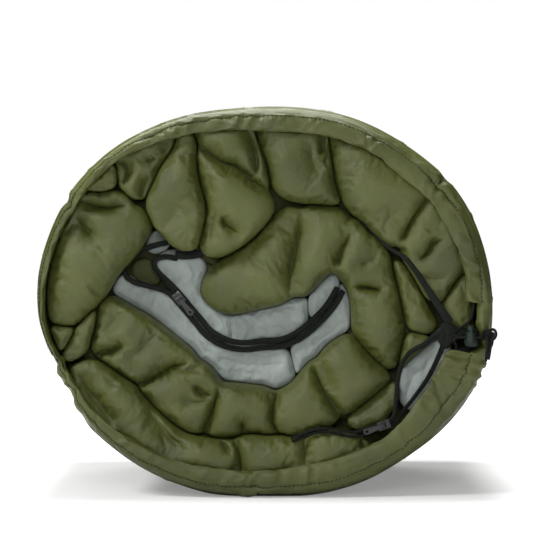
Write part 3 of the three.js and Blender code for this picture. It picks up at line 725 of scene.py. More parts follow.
# Sewn seams and folds: a path in shares of the run's box (across, up), its depth and its width in mm.
FOLDS = {
    "core": [
        (((0.51, 0.95), (0.49, 0.82), (0.45, 0.58), (0.45, 0.49)), 11, 6),
        (((0.74, 0.83), (0.7, 0.73), (0.67, 0.63)), 10, 3),
        (((0.77, 0.51), (0.82, 0.51), (0.89, 0.49)), 12, 3),
        (((0.79, 0.65), (0.82, 0.66), (0.87, 0.7)), 5, 4),
        (((0.32, 0.88), (0.26, 0.77), (0.21, 0.66)), 2.5, 10),
    ],
    "middle": [
        (((0.14, 0.37), (0.19, 0.4), (0.28, 0.51), (0.32, 0.53)), 15, 3),
        (((0.0, 0.56), (0.03, 0.58), (0.08, 0.62), (0.11, 0.65)), 13, 3),
        (((0.1, 0.87), (0.07, 0.8), (0.04, 0.74)), 4, 4),
        (((0.22, 0.74), (0.17, 0.62), (0.11, 0.53)), 4, 6),
        (((0.28, 0.49), (0.32, 0.47), (0.37, 0.52)), 6, 4),
        (((0.34, 0.37), (0.36, 0.32), (0.4, 0.3)), 10, 3),
        (((0.29, 0.26), (0.35, 0.25), (0.4, 0.28)), 5, 3),
        (((0.42, 0.34), (0.4, 0.19), (0.38, 0.06), (0.36, -0.01)), 15, 3),
        (((0.5, 0.11), (0.5, 0.03)), 12, 3),
        (((0.62, 0.36), (0.61, 0.28), (0.6, 0.19), (0.6, 0.11), (0.63, 0.0)), 14, 3),
        (((0.59, 0.33), (0.59, 0.25)), 5, 3),
        (((0.73, 0.54), (0.76, 0.38), (0.79, 0.27), (0.84, 0.12)), 12, 4),
        (((0.75, 0.55), (0.79, 0.38), (0.8, 0.31)), 6, 3),
    ],
    "bottom": [
        (((0.01, 0.89), (0.05, 0.75), (0.1, 0.61), (0.16, 0.45)), 8, 3),
        (((0.25, 0.65), (0.28, 0.53), (0.33, 0.38), (0.39, 0.28)), 8, 7),
        (((0.51, 0.36), (0.54, 0.26)), 9, 3),
        (((0.55, 0.42), (0.57, 0.28), (0.58, 0.1)), 15, 3),
        (((0.8, 0.41), (0.8, 0.17)), 8, 6),
        (((1.0, 0.39), (1.0, 0.3)), 8, 3),
    ],
    "right": [
        (((0.67, 0.59), (0.6, 0.51), (0.55, 0.45), (0.49, 0.35)), 15, 3.5),
        (((0.76, 0.35), (0.69, 0.34), (0.68, 0.29), (0.61, 0.25)), 12, 3.5),
        (((0.76, 0.42), (0.66, 0.4)), 3, 5),
        (((0.61, 0.14), (0.77, 0.14)), 5, 3),
        (((0.44, 0.51), (0.35, 0.41)), 2.5, 8),
    ],
    "petal": [
        (((0.05, 0.82), (0.36, 0.68), (0.6, 0.63), (0.81, 0.52), (1.02, 0.45)), 17, 3),
        (((0.44, 0.67), (0.58, 0.66)), 5, 3),
        (((0.7, 0.92), (0.79, 0.78), (0.81, 0.69), (0.8, 0.56)), 9, 4),
        (((0.36, 0.28), (0.4, 0.23), (0.6, 0.16)), 12, 3.5),
        (((0.25, 0.31), (0.27, 0.21), (0.25, 0.12)), 6, 4),
    ],
    "left": [
        (((0.3, 0.82), (0.38, 0.71), (0.47, 0.64)), 9, 5),
        (((0.32, 0.93), (0.46, 0.88), (0.57, 0.87), (0.75, 0.89)), 15, 3),
        (((0.51, 0.2), (0.63, 0.29)), 4, 6),
    ],
    "petal_left": [
        (((0.52, 0.38), (0.4, 0.22)), 2, 8),
    ],
    "outer_top": [
        (((0.76, 0.83), (0.75, 0.57)), 13, 3),
        (((0.63, 0.72), (0.65, 0.51), (0.72, 0.36)), 5, 4),
        (((0.81, 0.76), (0.83, 0.61), (0.79, 0.46)), 5, 3),
    ],
    "outer_upper_left": [
        (((0.0, 0.56), (0.15, 0.51), (0.19, 0.36), (0.1, 0.21)), 8, 3),
        (((0.86, 0.81), (0.72, 0.66)), 6, 3),
        (((0.62, 0.59), (0.49, 0.56)), 6, 3),
        (((0.51, 0.33), (0.4, 0.13), (0.43, 0.02)), 8, 4),
    ],
    "tuck_left": [
        (((0.34, 0.26), (0.43, 0.07), (0.67, 0.14)), 6, 3),
    ],
    "lining_upper": [
        (((0.34, 0.29), (0.36, 0.2), (0.4, 0.08)), 3, 3),
        (((0.39, 0.32), (0.43, 0.2), (0.45, 0.06)), 2, 3),
        (((0.47, 0.24), (0.48, 0.12), (0.49, -0.03)), 6, 2.5),
        (((0.51, 0.26), (0.52, 0.12), (0.53, -0.03)), 3, 3),
        (((0.55, 0.26), (0.6, 0.2), (0.61, 0.1), (0.57, -0.01)), 3, 3),
        (((0.6, 0.29), (0.76, 0.34), (0.91, 0.4)), 1.5, 5),
        (((0.65, 0.14), (0.77, 0.16), (0.9, 0.2)), 1.2, 5),
        (((0.01, 0.93), (0.09, 0.83), (0.18, 0.66)), 1.5, 6),
        (((0.22, 0.93), (0.25, 0.78), (0.24, 0.6)), 1.5, 6),
        (((0.25, 0.54), (0.29, 0.36), (0.35, 0.22)), 2, 5),
    ],
    "lining_lower": [
        (((0.04, 1.0), (0.07, 0.93), (0.11, 0.86)), 3, 4),
        (((0.12, 0.89), (0.18, 0.86), (0.24, 0.89)), 1.5, 5),
        (((0.32, 0.74), (0.34, 0.65), (0.38, 0.56)), 3, 4),
        (((0.21, 0.8), (0.32, 0.62), (0.45, 0.44), (0.55, 0.27)), 1.2, 7),
        (((0.57, 0.27), (0.68, 0.2), (0.81, 0.18), (0.93, 0.2)), 1.5, 6),
        (((0.73, 0.32), (0.81, 0.27), (0.91, 0.27)), 1.2, 5),
        (((0.63, 0.15), (0.72, 0.11), (0.84, 0.1)), 1.2, 5),
    ],
    "lining_right": [
        (((0.74, 0.67), (0.45, 0.54), (0.18, 0.41), (0.05, 0.28)), 2.5, 4),
        (((0.88, 0.6), (0.65, 0.46), (0.3, 0.31)), 1.5, 5),
    ],
    "lining_fold": [
        (((0.16, 0.57), (0.11, 0.28), (0.01, 0.0)), 4, 3),
        (((0.75, 0.71), (0.6, 0.42), (0.26, 0.14)), 1.5, 5),
    ],
    "lining_opening": [
        (((0.12, 0.1), (0.3, 0.45), (0.55, 0.6)), 3, 4),
        (((0.5, 0.42), (0.68, 0.66), (0.86, 0.86)), 2, 5),
    ],
}
SEAM_FROM = 8             # folds at least this deep are sewn seams, and are drawn in further by SEAM_DEPTH
SEAM_DEPTH = 1.5
# How far some runs stand out in front of their CAD pieces, in mm.
FRONT_LIFT = {"petal_left": 6, "petal": 4, "left": 4, "outer_upper_left": 3, "outer_top": 4, "right": 4,
              "bottom": 4}


# ---------------------------------------------------------------- the fabric of the ends, settled

CLOTH_SPACING = 3.1 * MM
WRINKLE = 2.2 * MM        # the wide wrinkles that the fabric starts with
RIM_WAVE = 1.2 * MM       # how far a rim waves in and out
FOLD_HELD = 0.82          # a fold's points are held where it is at least this share of its depth
GATHER = 1.5 * MM         # how high the pleats along a seam stand
PLEAT = 15 * MM           # how wide one is
PLEAT_REACH = 18 * MM     # how far it runs from the seam
SIDE_ROWS = (0.03, 0.1, 0.25, 0.5, 0.75, 0.92)    # where a piece's long sides have points, front to back
BRIDGE = 1.9 * RIM_SPACING    # outlines of one run are joined where they are nearer to each other than this
# How high each kind of fabric stands, as a share of a fully blown up membrane, and how much it wrinkles.
CHAMBER_FABRIC = (0.55, 1.0)
LINING_FABRIC = (0.24, 0.6)
PANEL_FABRIC = (0.15, 1.0)
BEHIND_HEM = HEM_FRONT + 12 * MM      # where the chambers' ends stay, behind the hem
BEHIND_GAP = HEM_FRONT + 22 * MM      # and behind its gap, beside the cord lock
GAP_ANGLES = (-0.26, -0.08)           # where that is, in radians

CLOTH_SCALE = 10          # the simulation runs on a model ten times the size, where its steps are stable
CLOTH_STEPS = 30
EXTRA_FABRIC = 0.05       # how much wider the chambers' fabric is than its frame
EXTRA_TIGHT = 0.025       # the same for the shell's body
CLOTH_SETTINGS = {
    "quality": 4, "mass": 0.02, "air_damping": 2.0, "bending_stiffness": 0.3,
    "tension_stiffness": 300, "compression_stiffness": 60, "shear_stiffness": 80,
    "tension_damping": 20, "compression_damping": 20, "shear_damping": 20,
    "shrink_min": -EXTRA_FABRIC, "shrink_max": -EXTRA_TIGHT,
    "vertex_group_mass": "held", "vertex_group_shrink": "tight",
    # With no target volume, the pressure stays the same all through.
    "use_pressure": True, "use_pressure_volume": True, "target_volume": 0, "uniform_pressure_force": 22,
}


def joined(loops):
    """The outline of several outlines that nearly touch, taken as one."""
    owner = np.concatenate([np.full(len(loop), i) for i, loop in enumerate(loops)])
    flat, triangles, sources = triangulated(loops)
    origin = np.array([owner[source[0]] for source in sources])
    triangles = np.array(triangles)
    corner = flat[triangles]
    kept = np.zeros(len(triangles), bool)
    for loop in loops:
        kept |= inside(loop, corner.mean(1))
    kept |= (max_edge(corner) < BRIDGE) & (np.ptp(origin[triangles], axis=1) > 0)
    following = {}
    sides = {(int(f[k]), int(f[(k + 1) % 3])) for f in triangles[kept] for k in range(3)}
    for start, end in sides:
        if (end, start) not in sides:
            following[start] = end
    found = []
    while following:
        start, at = following.popitem()
        ring = [start]
        while at != start and at in following:
            ring.append(at)
            at = following.pop(at)
        found.append(flat[ring])
    outline = max(found, key=lambda ring: abs(signed_area(ring)))
    outline = outline if signed_area(outline) > 0 else outline[::-1]
    return relax(resample(outline, RIM_SPACING), 2)


def max_edge(corner):
    """The longest edge of each triangle."""
    following = np.roll(corner, -1, axis=1)
    return np.linalg.norm(corner - following, axis=2).max(1)


def box_around(nodes):
    """The lowest and highest corners of several nodes together."""
    boxes = [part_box(node) for node in nodes]
    low = Vector([min(b[0][k] for b in boxes) for k in range(3)])
    return low, Vector([max(b[1][k] for b in boxes) for k in range(3)])


def outline_of(node):
    return OUTLINES[node] if node in OUTLINES else relax(resample(mid_section(node), RIM_SPACING), 3)


class Sheet:
    """The fabric of one end of a puffed piece: a flat outline, its triangles, and how far each point
    stands out."""

    def __init__(self, name, nodes, fabric, seed):
        self.name, self.nodes = name, nodes
        self.low, self.high = box_around(nodes)
        outlines = [outline_of(node) for node in nodes]
        self.rim = resample(outlines[0] if len(nodes) == 1 else joined(outlines), CLOTH_SPACING)
        self.folds = [(fold_line(self.low, self.high, path), depth, width)
                      for path, depth, width in FOLDS.get(name, ())]
        self.flat, self.faces = fill(self.rim, CLOTH_SPACING, [line for line, _, _ in self.folds])
        self.pinned = np.zeros(len(self.flat), bool)
        self.pinned[:len(self.rim)] = True
        self.start = at_depth(self.flat, -self.start_height(*fabric, seed))
        self.shape = self.start
        self.spare = np.zeros(len(self.start))

    def start_height(self, crown, wrinkle, seed):
        """How far each point stands out before the simulation. The folds' points are pinned on the way."""
        height = inflated(self.flat, self.faces, len(self.rim))
        share = height / height.max()
        self.peak = crown * height.max()
        height = self.peak * (1 - (1 - share) ** 1.7)
        inner = 1 - np.exp(-nearest_on(self.rim, self.flat)[0] / (4 * MM))
        place = at_depth(self.flat, 0)
        height += WRINKLE * wrinkle * noise3(place, 26 * MM, seed) * inner
        for line, depth, width in self.folds:
            depth *= SEAM_DEPTH if depth >= SEAM_FROM else 1.0
            sunk = crease(place, line, depth, width)
            height -= np.minimum(sunk, height * 0.95 + 3 * MM)
            self.pinned |= sunk > FOLD_HELD * depth * MM
        rim = slice(len(self.rim))
        height[rim] += RIM_WAVE * noise3(place[rim], 9 * MM, seed + 3)
        return height

    def settle(self, moved):
        """Takes the simulated points, keeps them inside the outline, and scales them to the crown."""
        flat = moved[:, [0, 2]].copy()
        out = ~inside(self.rim, flat)
        if out.any():
            start, end = self.rim, np.roll(self.rim, -1, 0)
            for i in np.where(out)[0]:
                edge = end - start
                t = np.clip(((flat[i] - start) * edge).sum(1) / (edge ** 2).sum(1), 0, 1)
                near = start + t[:, None] * edge
                flat[i] = near[np.argmin(np.linalg.norm(near - flat[i], axis=1))]
        tall = np.percentile(-moved[:, 1], 98)
        scale = min(1.0, self.peak * 1.12 / tall) if tall > 0 else 1.0
        self.shape = at_depth(flat, moved[:, 1] * scale)


def fabric_object(sheets, points, first):
    """All the sheets as one mesh, with a group of held points and one for how wide the fabric is."""
    faces = [tuple(int(v + offset) for v in f) for s, offset in zip(sheets, first) for f in s.faces]
    mesh = bpy.data.meshes.new("fabric_sheets")
    mesh.from_pydata([tuple(p) for p in points], [], faces)
    piece = placed("fabric_sheets", mesh)
    pinned = np.where(np.concatenate([s.pinned for s in sheets]))[0]
    piece.vertex_groups.new(name="held").add([int(i) for i in pinned], 1.0, "REPLACE")
    tight = piece.vertex_groups.new(name="tight")
    spare = np.concatenate([s.spare for s in sheets])
    for value in np.unique(spare):
        tight.add([int(i) for i in np.where(spare == value)[0]], float(value), "REPLACE")
    return piece


def settle_sheets(sheets):
    """One cloth simulation for all the sheets: their rims and folds are held, air pushes them out, and the
    fabric is a little too wide for its frame, so it gathers along the seams."""
    first = np.concatenate([[0], np.cumsum([len(s.start) for s in sheets])])
    points = np.vstack([s.start for s in sheets]) * CLOTH_SCALE
    piece = fabric_object(sheets, points, first)
    cloth = piece.modifiers.new("cloth", "CLOTH")
    for key, value in CLOTH_SETTINGS.items():
        setattr(cloth.settings, key, value)
    cloth.settings.effector_weights.gravity = 0
    cloth.collision_settings.use_collision = False
    cloth.point_cache.frame_start = 1
    cloth.point_cache.frame_end = CLOTH_STEPS
    for step in range(1, CLOTH_STEPS + 1):
        bpy.context.scene.frame_set(step)
    done = piece.evaluated_get(bpy.context.evaluated_depsgraph_get()).data
    moved = vertex_values(done, "co") / CLOTH_SCALE
    bpy.data.objects.remove(piece)
    bpy.context.scene.frame_set(1)
    for sheet, start, stop in zip(sheets, first[:-1], first[1:]):
        sheet.settle(moved[start:stop])


def fold_line(low, high, path):
    """A fold's line in metres, from a path in shares of a box."""
    size = np.array([high.x - low.x, high.z - low.z])
    line = np.array([low.x, low.z]) + np.array(path) * size
    return relax(resample(line, 3 * MM, closed=False), 5, closed=False)


def crease(points, line, depth, width):
    """How far a fold line sinks in at each point."""
    distance, along = nearest_on(line, points[:, [0, 2]], closed=False)
    length = np.linalg.norm(np.diff(line, axis=0), axis=1).sum()
    taper = smoothstep(-0.1, 0.3, along / length) * smoothstep(1.1, 0.7, along / length)
    return depth * MM * taper * np.exp(-np.abs(distance / (width * MM)) ** 1.1)


def build(sheet, material, behind_hem):
    """A filled piece: its settled fabric at the front, the same mirrored at the back, and long sides."""
    count, rim_count = len(sheet.flat), len(sheet.rim)
    lift = FRONT_LIFT.get(sheet.name, 0.0) * MM
    front = sheet.shape.copy()
    front[:, 1] += sheet.low.y - lift + sheet.peak
    back = sheet.shape.copy()
    back[:, 1] = sheet.high.y - sheet.peak - back[:, 1]
    if behind_hem:
        front = pressed_by_hem(front)
    ends = front[:rim_count, 1], back[:rim_count, 1]
    rows = [at_depth(sheet.rim, (1 - share) * ends[0] + share * ends[1]) for share in SIDE_ROWS]
    vertices = np.vstack([front, back, *rows])
    made = list(sheet.faces) + [tuple(v + count for v in f[::-1]) for f in sheet.faces]
    bands = [0] + [2 * count + i * rim_count for i in range(len(rows))] + [count]
    for first, second in zip(bands[:-1], bands[1:]):
        for c in range(rim_count):
            n = (c + 1) % rim_count
            made.append((first + n, first + c, second + c, second + n))
    piece = new_piece(sheet.name + "_fabric", vertices, made, material, sheet.nodes)
    tall = np.clip(-sheet.shape[:, 1] / sheet.peak, 0, 1)
    crown = piece.data.attributes.new("crown", "FLOAT", "POINT")
    crown.data.foreach_set("value", np.concatenate([tall, tall, np.zeros(len(rows) * rim_count)]))
    make_normals_outside(piece)
    subdivide(piece)
    if behind_hem:
        gather(piece, sheet)


def pleats(points, distance, along, size, reach):
    """Small pleats that run away from a seam: how far each [x, z] point stands out. The distance to the
    seam and the place along it are given."""
    place = at_depth(points, 0)
    along = along + 0.5 * size * noise3(place, 2.5 * size, 71)
    pleat = np.abs(np.sin(math.pi * along / size)) ** 0.7 - 0.55
    bunch = smoothstep(-0.05, 0.45, noise3(place, 3 * size, 73))
    return pleat * bunch * np.exp(-(distance / reach) ** 1.3)


def gather(piece, sheet):
    """Subdivides the piece for good, and gathers its fabric along its rim and its sewn folds."""
    mesh = bpy.data.meshes.new_from_object(piece.evaluated_get(bpy.context.evaluated_depsgraph_get()))
    piece.modifiers.clear()
    piece.data = mesh
    points, normals = vertex_values(mesh, "co"), vertex_values(mesh, "normal")
    middle, half = (sheet.low.y + sheet.high.y) / 2, (sheet.high.y - sheet.low.y) / 2
    at_end = smoothstep(0.75, 0.9, np.abs(points[:, 1] - middle) / half)
    ends = np.where(at_end > 0)[0]
    flat = points[ends][:, [0, 2]]
    distance, along = nearest_on(sheet.rim, flat)
    proud = GATHER * pleats(flat, distance, along, PLEAT, PLEAT_REACH)
    for line, depth, _ in sheet.folds:
        if depth >= SEAM_FROM:
            from_seam, along_seam = nearest_on(line, flat, closed=False)
            proud += 0.8 * GATHER * pleats(flat, from_seam, along_seam, 0.75 * PLEAT, 0.7 * PLEAT_REACH)
    proud *= (0.25 + 0.75 * smoothstep(0, 4 * MM, distance)) * at_end[ends]
    points[ends] += normals[ends] * proud[:, None]
    mesh.vertices.foreach_set("co", points.ravel())
    mesh.update()


def pressed_by_hem(cap):
    """Keeps a chamber's end behind the hem band where the band covers it."""
    angle, radius = polar(cap[:, [0, 2]])
    inner, _ = hem_radius(angle)
    covered = smoothstep(-2 * MM, 2 * MM, radius - inner)
    in_gap = (angle > GAP_ANGLES[0]) & (angle < GAP_ANGLES[1])
    pushed = np.maximum(cap[:, 1], np.where(in_gap, BEHIND_GAP, BEHIND_HEM))
    cap = cap.copy()
    cap[:, 1] += (pushed - cap[:, 1]) * covered
    return cap


def look(name, is_chamber):
    """A soft piece's material: olive chambers, grey linings, and the same with painted shade in the corner
    and deep inside.
    """
    if name == "lining_corner":
        return GREY_SHADED
    if name.startswith("lining_"):
        return GREY
    return OLIVE if is_chamber else OLIVE_SHADED


def soft_pieces():
    """The filled chambers, the linings, the hem and the shell, all settled by one simulation."""
    sheets = []
    for index, (name, nodes) in enumerate(CHAMBERS.items()):
        sheets.append(Sheet(name, ["chamber_" + n for n in nodes], CHAMBER_FABRIC, index))
    for index, node in enumerate(sorted(n for n in frame["nodes"] if n.startswith("lining_"))):
        sheets.append(Sheet(node, [node], LINING_FABRIC, 100 + index))
    for index, node in enumerate(("shell_panel_inner", "inner_roll")):
        sheets.append(Sheet(node, [node], PANEL_FABRIC, 120 + index))
    wrap = Wrap()
    settle_sheets(sheets + [wrap])
    hem(wrap)
    shell(wrap)
    shell_stitches(wrap)
    for index, sheet in enumerate(sheets):
        is_chamber = index < len(CHAMBERS)
        build(sheet, look(sheet.name, is_chamber), is_chamber)


FOLDS_NEAR = HEM_FRONT + 44 * MM      # how far back the inner fabric lies in a narrow gap
FOLDS_DEEP = HEM_FRONT + 72 * MM      # and in a wide one
FOLDS_BACK = 0.11                     # the depth of the sheet near the rear end


def gap_points(fence, chambers, loops):
    """A grid of points inside the fence and clear of every loop."""
    low, high = fence.min(0), fence.max(0)
    xs, zs = np.arange(low[0], high[0], 5 * MM), np.arange(low[1], high[1], 5 * MM)
    grid = np.array([(x, z) for x in xs for z in zs])
    grid = grid[inside(fence, grid)]
    for loop in chambers:
        grid = grid[~inside(loop, grid)]
    return grid[np.min([nearest_on(loop, grid)[0] for loop in loops], axis=0) > 3 * MM]


def gap_mesh(fence, chambers):
    """The flat points and the faces of the space between the chambers."""
    loops = [fence] + [loop - outward(loop) * 2.5 * MM for loop in chambers]
    flat, triangles, _ = triangulated(loops, gap_points(fence, chambers, loops))
    middles = np.array([flat[f].mean(0) for f in triangles])
    open_space = inside(fence, middles)
    for loop in loops[1:]:
        open_space &= ~inside(loop, middles)
    return flat, [f for f, kept in zip(triangles, open_space) if kept]


def drop_loose_points(mesh):
    bmesh.ops.delete(mesh, geom=[v for v in mesh.verts if not v.link_faces], context="VERTS")


def inner_folds():
    """Fabric between the chambers, deep inside the roll, so that nothing shows through it. It comes forward
    where the gap is narrow, and stays behind the linings and the zippers."""
    fence = relax(resample(FENCE, 8 * MM), 2)
    chambers = [OUTLINES[n] for n in OUTLINES if n.startswith("chamber_")]
    in_front = ("lining_", "shell_panel", "inner_zip_tape", "outer_zip_tape", "cord_lock_barrel")
    deep = [mid_section(n) for n in frame["nodes"] if n.startswith(in_front)]
    flat, faces = gap_mesh(fence, chambers)
    from_chamber = np.min([nearest_on(loop, flat)[0] for loop in chambers], axis=0)
    from_deep = np.min([np.where(inside(loop, flat), 0, nearest_on(loop, flat)[0]) for loop in deep],
                       axis=0)
    forward = np.exp(-from_chamber / (7 * MM)) * smoothstep(2 * MM, 9 * MM, from_deep)
    wrinkles = 2.5 * MM * noise3(at_depth(flat, 0), 12 * MM, 61)
    front = FOLDS_DEEP + (FOLDS_NEAR - FOLDS_DEEP) * forward + wrinkles
    front = np.where(from_deep < 9 * MM, np.maximum(front, FOLDS_DEEP), front)
    for name, y in (("inner_folds_front", front), ("inner_folds_back", FOLDS_BACK)):
        # The inner folds wear the olive with painted shade.
        sheet = new_piece(name, at_depth(flat, y), faces, OLIVE_SHADED)
        change_mesh(sheet, drop_loose_points)
        make_normals_outside(sheet)
        thicken(sheet, 1 * MM)


# ---------------------------------------------------------------- hem and outer shell

RING_STEPS = 420
MEAN_RADIUS = 0.232
# The hem band in section: the share of the way from its inner edge to the roll's outline, and mm behind
# its front.
HEM_PROFILE = (
    (0.08, 9.4), (0.03, 7.8), (0.0, 6.0), (0.0, 4.4), (0.03, 2.6), (0.09, 1.0), (0.18, 0.1), (0.30, 0.0),
    (0.42, 0.6), (0.52, 2.0), (0.60, 4.4), (0.68, 4.0), (0.78, 4.6), (0.88, 6.6), (0.95, 10.5),
    (0.985, 15.5), (1.0, 22.0))
STITCH_ROW = 10           # the row of that section where the tunnel is sewn to the shell
BODY_ROWS = 58
QUILT_SEAMS = 15
SEAM_STEPS = RING_STEPS // QUILT_SEAMS
# Folds across the band: angle in degrees, slant, depth and width in mm, and the shares of the band they
# cross, from and to.
BAND_FOLDS = (
    (-96, 0.5, 4.5, 2.6, 0.0, 1.0), (-93, -0.4, 3.0, 3.0, 0.3, 1.0), (-29, 0.9, 4.5, 3.0, 0.0, 0.9),
    (-26, 1.1, 2.5, 3.0, 0.1, 0.8), (33, -0.5, 4.0, 2.6, 0.2, 1.0), (36, 0.6, 3.5, 2.6, 0.4, 1.0),
    (30, 0.5, 2.5, 2.5, 0.3, 0.9), (55.5, 0.3, 4.5, 2.6, 0.0, 0.75), (58, -0.6, 2.0, 3.0, 0.1, 0.6),
    (74, 0.8, 2.2, 3.0, 0.1, 0.6), (83, 0.9, 1.8, 3.0, 0.1, 0.6), (100, -0.8, 2.0, 3.0, 0.1, 0.6),
    (108, 0.9, 2.6, 3.0, 0.0, 0.7), (121, -0.9, 3.0, 2.6, 0.0, 0.7), (124, 0.8, 3.0, 2.6, 0.2, 0.8),
    (140, -0.6, 2.0, 3.0, 0.0, 0.9), (154, 0.7, 3.2, 3.0, 0.0, 1.0), (166, -0.6, 2.0, 3.0, 0.1, 1.0),
    (196, 0.5, 5.0, 3.0, 0.0, 1.0), (200, -0.8, 4.5, 3.0, 0.0, 1.0), (205, 0.6, 3.5, 3.0, 0.1, 1.0),
    (215, -0.5, 2.5, 3.5, 0.2, 1.0), (226, 0.5, 2.5, 3.5, 0.2, 1.0), (236, -0.5, 2.2, 3.5, 0.2, 1.0))
HELD_FOLD = 3             # folds at least this deep are held in the simulation
# Where the outline of the roll steps in: angle in degrees, depth and width in mm.
NOTCHES = ((153, 3.0, 7.0), (196, 4.0, 8.0), (205.5, 4.5, 9.0), (212, 2.0, 8.0), (34, 1.5, 7.0))
RUFFLE = 3.4 * MM         # how high the gathers under the cord lock stand
RUFFLE_REACH = 34 * MM    # how far they go on from the lock
RUFFLE_LENGTH = 12 * MM   # from crest to crest
PUCKER = 3.2 * MM         # the small slanting puckers that the hem's stitching makes
PUCKER_SIZE = 8.5 * MM
PUCKER_SLANT = 16 * MM
HEM_CAP = 3 * MM          # how far the simulation may move a point of the band
BODY_CAP = 7 * MM         # the same for a point of the shell's body
BAND_SPARE = 0.45         # how much of the shell's fabric width setting the band takes
REAR_BEND = 20 * MM       # the radius of the shell's rounded rear edge
REAR_LIP = 22 * MM        # how far its hem reaches back inside
TUNNEL = 0.9 * MM         # the thickness of the hem's fabric
SHELL = 1.2 * MM          # and of the shell's
FLOOR_CLEARANCE = 8 * MM  # quilt seams closer to the floor than this show no stitches


def hem_angles():
    """The angles of the hem's two ends, above and below its gap."""
    middle = float(np.mean(hem_radius([0.0])[0]))
    top = math.asin((GAP_Z[1] - CENTRE[1]) / middle)
    bottom = math.asin((GAP_Z[0] - CENTRE[1]) / middle) + 2 * math.pi
    return top, bottom


def from_angle(angles, degrees):
    """The distance along the band from a given angle."""
    turn = (angles - math.radians(degrees) + math.pi) % (2 * math.pi) - math.pi
    return turn * MEAN_RADIUS


def notch(angles):
    """How far the roll's outline steps in at each angle."""
    return sum(depth * MM * np.exp(-(from_angle(angles, at) / (width * MM)) ** 2)
               for at, depth, width in NOTCHES)


def band_push(angles, across):
    """How far one row of the band stands out: its folds, its ruffles, its wrinkles and its puckers."""
    inner, outer = hem_radius(angles)
    push = np.zeros(len(angles))
    for at, slant, depth, width, start, stop in BAND_FOLDS:
        where = from_angle(angles, at) + slant * (across - 0.5) * (outer - inner)
        held = smoothstep(start - 0.12, start + 0.08, across) * smoothstep(stop + 0.12, stop - 0.08, across)
        push -= depth * MM * held * np.exp(-(where / (width * MM)) ** 2)
    _, bottom = hem_angles()
    below_lock = (bottom - angles) * MEAN_RADIUS
    ruffled = np.exp(-(below_lock / RUFFLE_REACH) ** 2) * (below_lock > 0)
    push += RUFFLE * np.sin(2 * math.pi * below_lock / RUFFLE_LENGTH + 2 * across) * ruffled
    none = np.zeros(len(angles))
    place = np.stack([angles * MEAN_RADIUS, none + across * 0.03, none], axis=1)
    push += 0.7 * MM * noise3(place, 14 * MM, 3) + 0.35 * MM * noise3(place, 6 * MM, 4)
    slanted = np.stack([angles * MEAN_RADIUS + across * PUCKER_SLANT, none + across * 0.008, none], axis=1)
    strong = 0.35 + 0.65 * smoothstep(-0.2, 0.4, noise3(place, 60 * MM, 6))
    held = smoothstep(0.0, 0.12, across) * smoothstep(0.98, 0.75, across)
    return push + PUCKER * strong * held * noise3(slanted, PUCKER_SIZE, 5)


def band_row(angles, across, back):
    """One row of points round the band, with its folds pressed in."""
    inner, outer = hem_radius(angles)
    radius = inner + (outer - notch(angles) - inner) * across
    push = band_push(angles, across)
    turned = across * math.pi / 2
    flat = on_ring(angles, radius + push * math.sin(turned) * 0.8)
    return at_depth(flat, HEM_FRONT + (back + 1.5) * MM - push * math.cos(turned))


def body_row(angles, y, share):
    """One row of points round the shell's body: tubes between lengthwise seams."""
    _, outer = hem_radius(angles)
    turn = (angles / (2 * math.pi) * QUILT_SEAMS) % 1
    arch = np.sqrt(np.maximum(1 - (2 * turn - 1) ** 2, 0))
    full = smoothstep(0.0, 0.25, share) * smoothstep(1.0, 0.85, share)
    flat = on_ring(angles, outer - notch(angles) * (1 - full))
    where = at_depth(flat, y)
    drape = 1.5 * noise3(where, 0.06, 11) + 0.6 * noise3(where, 0.025, 12)
    flat = on_ring(angles, outer - notch(angles) * (1 - full) + (6.0 * arch - 7.0 + drape) * full * MM)
    return at_depth(flat, y)


class Wrap:
    """The hem's tunnel, the shell's shoulder and the shell's body, as one sheet round the roll."""

    def __init__(self):
        self.angles = np.linspace(0, 2 * math.pi, RING_STEPS, endpoint=False)
        top, bottom = hem_angles()
        self.in_hem = (self.angles > top) & (self.angles < bottom)
        self.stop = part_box("outer_shell")[1].y - REAR_LIP
        first = HEM_FRONT + (HEM_PROFILE[-1][1] + 6) * MM
        rows = [band_row(self.angles, across, back) for across, back in HEM_PROFILE]
        rows += [body_row(self.angles, first + (self.stop - first) * share, share)
                 for share in np.linspace(0, 1, BODY_ROWS)]
        self.rows = np.array(rows)
        tunnel = grid_faces(STITCH_ROW + 1, RING_STEPS)
        self.faces = [f for f in tunnel if all(self.in_hem[v % RING_STEPS] for v in f)]
        self.faces += grid_faces(len(rows) - STITCH_ROW, RING_STEPS, start=STITCH_ROW * RING_STEPS)
        self.pinned = self.pinned_points()
        self.start = self.rows.reshape(-1, 3)
        band = np.arange(len(rows)) < len(HEM_PROFILE)
        self.spare = np.where(band, BAND_SPARE, 1.0).repeat(RING_STEPS)

    def pinned_points(self):
        """True for the points on seams and deep folds, and for those that no face uses."""
        count = len(HEM_PROFILE)
        pinned = np.zeros(self.rows.shape[:2], bool)
        pinned[[0, STITCH_ROW, count, -1]] = True
        pinned[count:, ::SEAM_STEPS] = True
        for at, _, depth, _, start, stop in BAND_FOLDS:
            column = int(round(math.radians(at % 360) / (2 * math.pi) * RING_STEPS)) % RING_STEPS
            for row, (across, _) in enumerate(HEM_PROFILE):
                pinned[row, column] |= depth >= HELD_FOLD and start <= across <= stop
        used = np.zeros(pinned.size, bool)
        used[[v for f in self.faces for v in f]] = True
        return pinned.ravel() | ~used

    def settle(self, moved):
        """Takes the simulated points, each no farther from its start than its cap."""
        cap = np.where(np.arange(len(self.rows)) < len(HEM_PROFILE), HEM_CAP, BODY_CAP).repeat(RING_STEPS)
        shift = moved - self.start
        size = np.linalg.norm(shift, axis=1) + 1e-9
        shift *= (cap * np.tanh(size / cap) / size)[:, None]
        self.rows = (self.start + shift).reshape(self.rows.shape)


